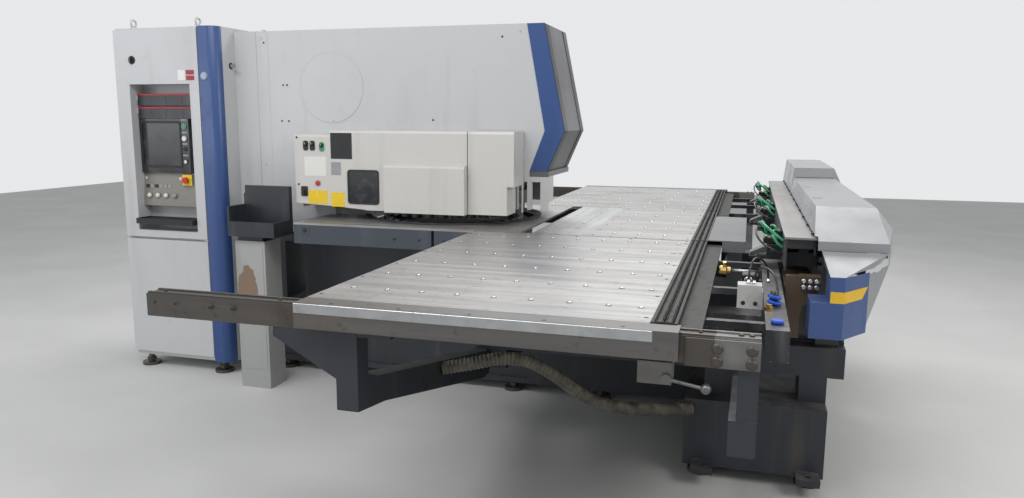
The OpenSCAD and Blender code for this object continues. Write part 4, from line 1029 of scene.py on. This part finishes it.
# Gauge cylinder: port holes, black head behind it, air unit with blue rings, brass actuator
gauge_front_y = -1.7352
gauge = Shape()
for x in (1.795, 1.839):
    gauge.turned(at(x, gauge_front_y, 0.982), outward, [(0, 0.0085), (0.0006, 0.0080)], "black", 16)
gauge.box(at(1.8655, -1.732, 0.975), at(1.8715, -1.668, 1.0285), "black", 0.001)
gauge.box(at(1.787, -1.520, 0.990), at(1.850, -1.448, 1.049), "oily", 0.004)
gauge.box(at(1.849, -1.505, 0.998), at(1.866, -1.463, 1.024), "oily", 0.002)
dial = at(1.812, -1.5205, 1.026)
gauge.bezel(dial, outward, 0.004, 0.017, 0.005, 0.014, 0.009, "chrome")
gauge.turned(dial, outward, [(0, 0.009), (0.002, 0.0085)], "black")
air_unit = at(1.896, -1.950, 1.030)
for lift in (0.004, 0.024):
    gauge.turned(air_unit + Vector((0, 0, lift)), (0.25, 0, 1),
                 [(0, 0.0215), (0.002, 0.0235), (0.010, 0.0235), (0.012, 0.0215)],
                 "blue_ring", 28)
gauge.turned(air_unit, upward, [(0, 0.016), (0.040, 0.016), (0.044, 0.012), (0.050, 0.012)],
             "oily")
gauge.turned(at(1.900, -2.215, 1.030), upward, [(0, 0.0195), (0.010, 0.0195), (0.013, 0.017)],
             "blue_ring", 28)
gauge.turned(at(1.878, -2.035, 1.030), upward,
             [(0, 0.014), (0.012, 0.014), (0.012, 0.010), (0.020, 0.010)], "brass", 6, False)
actuator_y = -1.250
gauge.turned(at(1.737, actuator_y, 1.015), (1, 0, 0), [(0, 0.006), (0.129, 0.006)], "bright", 14)
gauge.turned(at(1.690, actuator_y, 1.015), (1, 0, 0),
             [(0, 0.016), (0.006, 0.020), (0.030, 0.020), (0.034, 0.014), (0.048, 0.014)],
             "brass", 8, False)
gauge.turned(at(1.712, actuator_y, 1.030), (0, -0.3, 1), [(0, 0.008), (0.022, 0.008)],
             "brass", 12)
gauge.piece("gauge_fittings", "table_carriage", "aluminium_plate")

# Clamps: valve block, bolt heads and fittings on each holder
valve_top_z = 1.1480
for number, y in enumerate(clamp_places, 1):
    clamp = Shape()
    clamp.box(at(1.868, y - 0.034, 1.1212), at(1.922, y + 0.034, valve_top_z), "oily", 0.003)
    for shift in (-0.020, 0.004, 0.024):
        clamp.turned(at(1.880, y + shift, valve_top_z), upward,
                     [(0, 0.006), (0.010, 0.006), (0.010, 0.0045), (0.016, 0.0045)],
                     "chrome", 12)
    for shift in (-0.050, 0.050):
        clamp.cap_screw(at(1.935, y + shift, 1.121), upward, 0.010, "bright", 12)
        clamp.cap_screw(at(1.840, y + shift, 1.069), upward, 0.009, "bright", 12)
    for side in (-1, 1):
        clamp.turned(at(1.924, y + side * 0.046, 1.158), (0, side, 0),
                     [(0, 0.009), (0.014, 0.009), (0.016, 0.007)], "brass", 12)
    clamp.piece(f"clamp_valve_{number}", "clamp_carriage", "black_plastic")

# More hoses at the clamps: each rises from the valve block and goes back to the channel
loop_shapes = {
    "green_loop": (0.0060, "green_hose", "hose_green", (
        (1.880, -0.020, 1.160), (1.876, -0.035, 1.196), (1.862, -0.080, 1.222),
        (1.858, -0.140, 1.226), (1.876, -0.200, 1.214), (1.910, -0.245, 1.190),
        (1.9445, -0.262, 1.168))),
    "green_drop": (0.0055, "green_hose", "hose_green", (
        (1.880, 0.004, 1.162), (1.868, 0.030, 1.190), (1.852, 0.085, 1.200),
        (1.850, 0.140, 1.180), (1.872, 0.176, 1.146), (1.912, 0.190, 1.120),
        (1.9445, 0.194, 1.105))),
    "black_loop": (0.0045, "oily", "black_plastic", (
        (1.880, 0.024, 1.162), (1.860, 0.010, 1.186), (1.838, -0.040, 1.190),
        (1.838, -0.100, 1.168), (1.862, -0.150, 1.140), (1.905, -0.178, 1.118),
        (1.9445, -0.186, 1.100))),
}
for number, y in enumerate(clamp_places, 1):
    for word, (radius, finish, slot, turns) in loop_shapes.items():
        thin_hose(f"{word}_{number}", "clamp_carriage", slot,
                  [(x, y + along, z) for x, along, z in turns], radius, finish)

# Thin black hoses between the gauge cylinder, its head and the air unit
gauge_hose_radius = 0.0040
gauge_hoses = {
    "gauge_hose_1": (
        (1.812, -1.690, 1.0475), (1.812, -1.688, 1.080), (1.818, -1.668, 1.116),
        (1.832, -1.630, 1.134), (1.852, -1.590, 1.128), (1.872, -1.562, 1.104),
        (1.883, -1.550, 1.070), (1.885, -1.548, 1.0285)),
    "gauge_hose_2": (
        (1.832, -1.700, 1.0475), (1.834, -1.702, 1.082), (1.848, -1.722, 1.112),
        (1.872, -1.772, 1.124), (1.896, -1.836, 1.112), (1.908, -1.880, 1.078),
        (1.909, -1.888, 1.0285)),
}
collar_lift = Vector((0, 0, 0.0005))
collars = Shape()
for word, turns in gauge_hoses.items():
    route = thin_hose(word, "table_carriage", "black_plastic", turns, gauge_hose_radius, "oily")
    for end in (route[0], route[-1]):
        collars.turned(end + collar_lift, upward,
                       [(0, 0.0075), (0.008, 0.0075), (0.009, 0.006), (0.016, 0.006)],
                       "chrome", 12)
collars.piece("gauge_hose_collars", "table_carriage", "bright_steel")

# Carriage plate: a row of low knobs
plate_top_z = 1.212
knob_pitch = 0.290
knobs = Shape()
for step in range(11):
    knobs.turned(at(2.046, -1.450 + step * knob_pitch, plate_top_z), upward,
                 [(0, 0.0085), (0.006, 0.0085), (0.008, 0.006)], "black", 14)
knobs.piece("carriage_plate_knobs", "clamp_carriage", "black_plastic")

# Aprons: screws and plugs
apron_y = 0.692
plug_y = 0.695
apron = Shape()
for side in (-1, 1):
    for x in (-0.10, 0.05, 0.20, 0.33):
        apron.cap_screw(at(x, side * apron_y, 0.985), (0, side, 0), 0.012, "black", 12)
    apron.dome(at(-0.668, side * plug_y, 1.010), (0, side, 0), 0.030, "black", 0.25)
apron.piece("apron_screws", "press", "slate_paint")


# Floor and light
floor_half = 14.0
floor_mesh = bpy.data.meshes.new("floor")
floor_mesh.from_pydata([(-floor_half, -floor_half, 0), (floor_half, -floor_half, 0),
                        (floor_half, floor_half, 0), (-floor_half, floor_half, 0)], [],
                       [(0, 1, 2, 3)])
floor = bpy.data.objects.new("floor", floor_mesh)
bpy.context.scene.collection.objects.link(floor)
floor_finish = Finish("floor", roughness=0.7)
floor_finish.set("Base Color", floor_finish.blend(floor_finish.noise(1.2, 4.0).ramp(0.3, 0.7),
                                                  srgb(206, 206, 204), srgb(214, 214, 212)))
floor_mesh.materials.append(floor_finish.material)

# The sky lights softly, but looks brighter where the camera or a reflection sees it
world = bpy.data.worlds.new("studio")
bpy.context.scene.world = world
world.use_nodes = True
tree = world.node_tree
background = tree.nodes["Background"]
background.inputs["Color"].default_value = (0.86, 0.88, 0.90, 1)
background.inputs["Strength"].default_value = 0.45
seen = tree.nodes.new("ShaderNodeBackground")
seen.inputs["Color"].default_value = (0.80, 0.81, 0.82, 1)
seen.inputs["Strength"].default_value = 1.0
rays = tree.nodes.new("ShaderNodeLightPath")
direct = rays.outputs["Is Camera Ray"]
for kind in ("Is Glossy Ray", "Is Transmission Ray"):
    either = tree.nodes.new("ShaderNodeMath")
    either.operation = "MAXIMUM"
    tree.links.new(direct, either.inputs[0])
    tree.links.new(rays.outputs[kind], either.inputs[1])
    direct = either.outputs[0]
chosen = tree.nodes.new("ShaderNodeMixShader")
tree.links.new(direct, chosen.inputs["Fac"])
tree.links.new(background.outputs[0], chosen.inputs[1])
tree.links.new(seen.outputs[0], chosen.inputs[2])
tree.links.new(chosen.outputs[0], tree.nodes["World Output"].inputs["Surface"])


def lamp(name, place, aim, width, height, watts, colour=(1, 1, 1)):
    data = bpy.data.lights.new(name, "AREA")
    data.shape = "RECTANGLE"
    data.size = width
    data.size_y = height
    data.energy = watts
    data.color = colour
    made = bpy.data.objects.new(name, data)
    made.location = place
    made.rotation_euler = (Vector(aim) - Vector(place)).to_track_quat("-Z", "Y").to_euler()
    bpy.context.scene.collection.objects.link(made)


lamp("roof_lamp_near", (-0.6, -4.2, 5.2), (0.2, -0.6, 0.8), 5.0, 1.6, 150)
lamp("roof_lamp_far", (0.8, 3.4, 5.4), (0.0, 0.2, 1.0), 5.0, 1.6, 190)
lamp("side_lamp", (5.0, -2.6, 3.6), (0.6, -0.4, 0.9), 2.6, 2.0, 70, (1.0, 0.97, 0.93))
lamp("low_fill", (-4.6, -4.4, 2.2), (-0.8, -0.4, 0.9), 3.0, 2.0, 40, (0.93, 0.96, 1.0))

bpy.context.scene.view_settings.view_transform = "Standard"
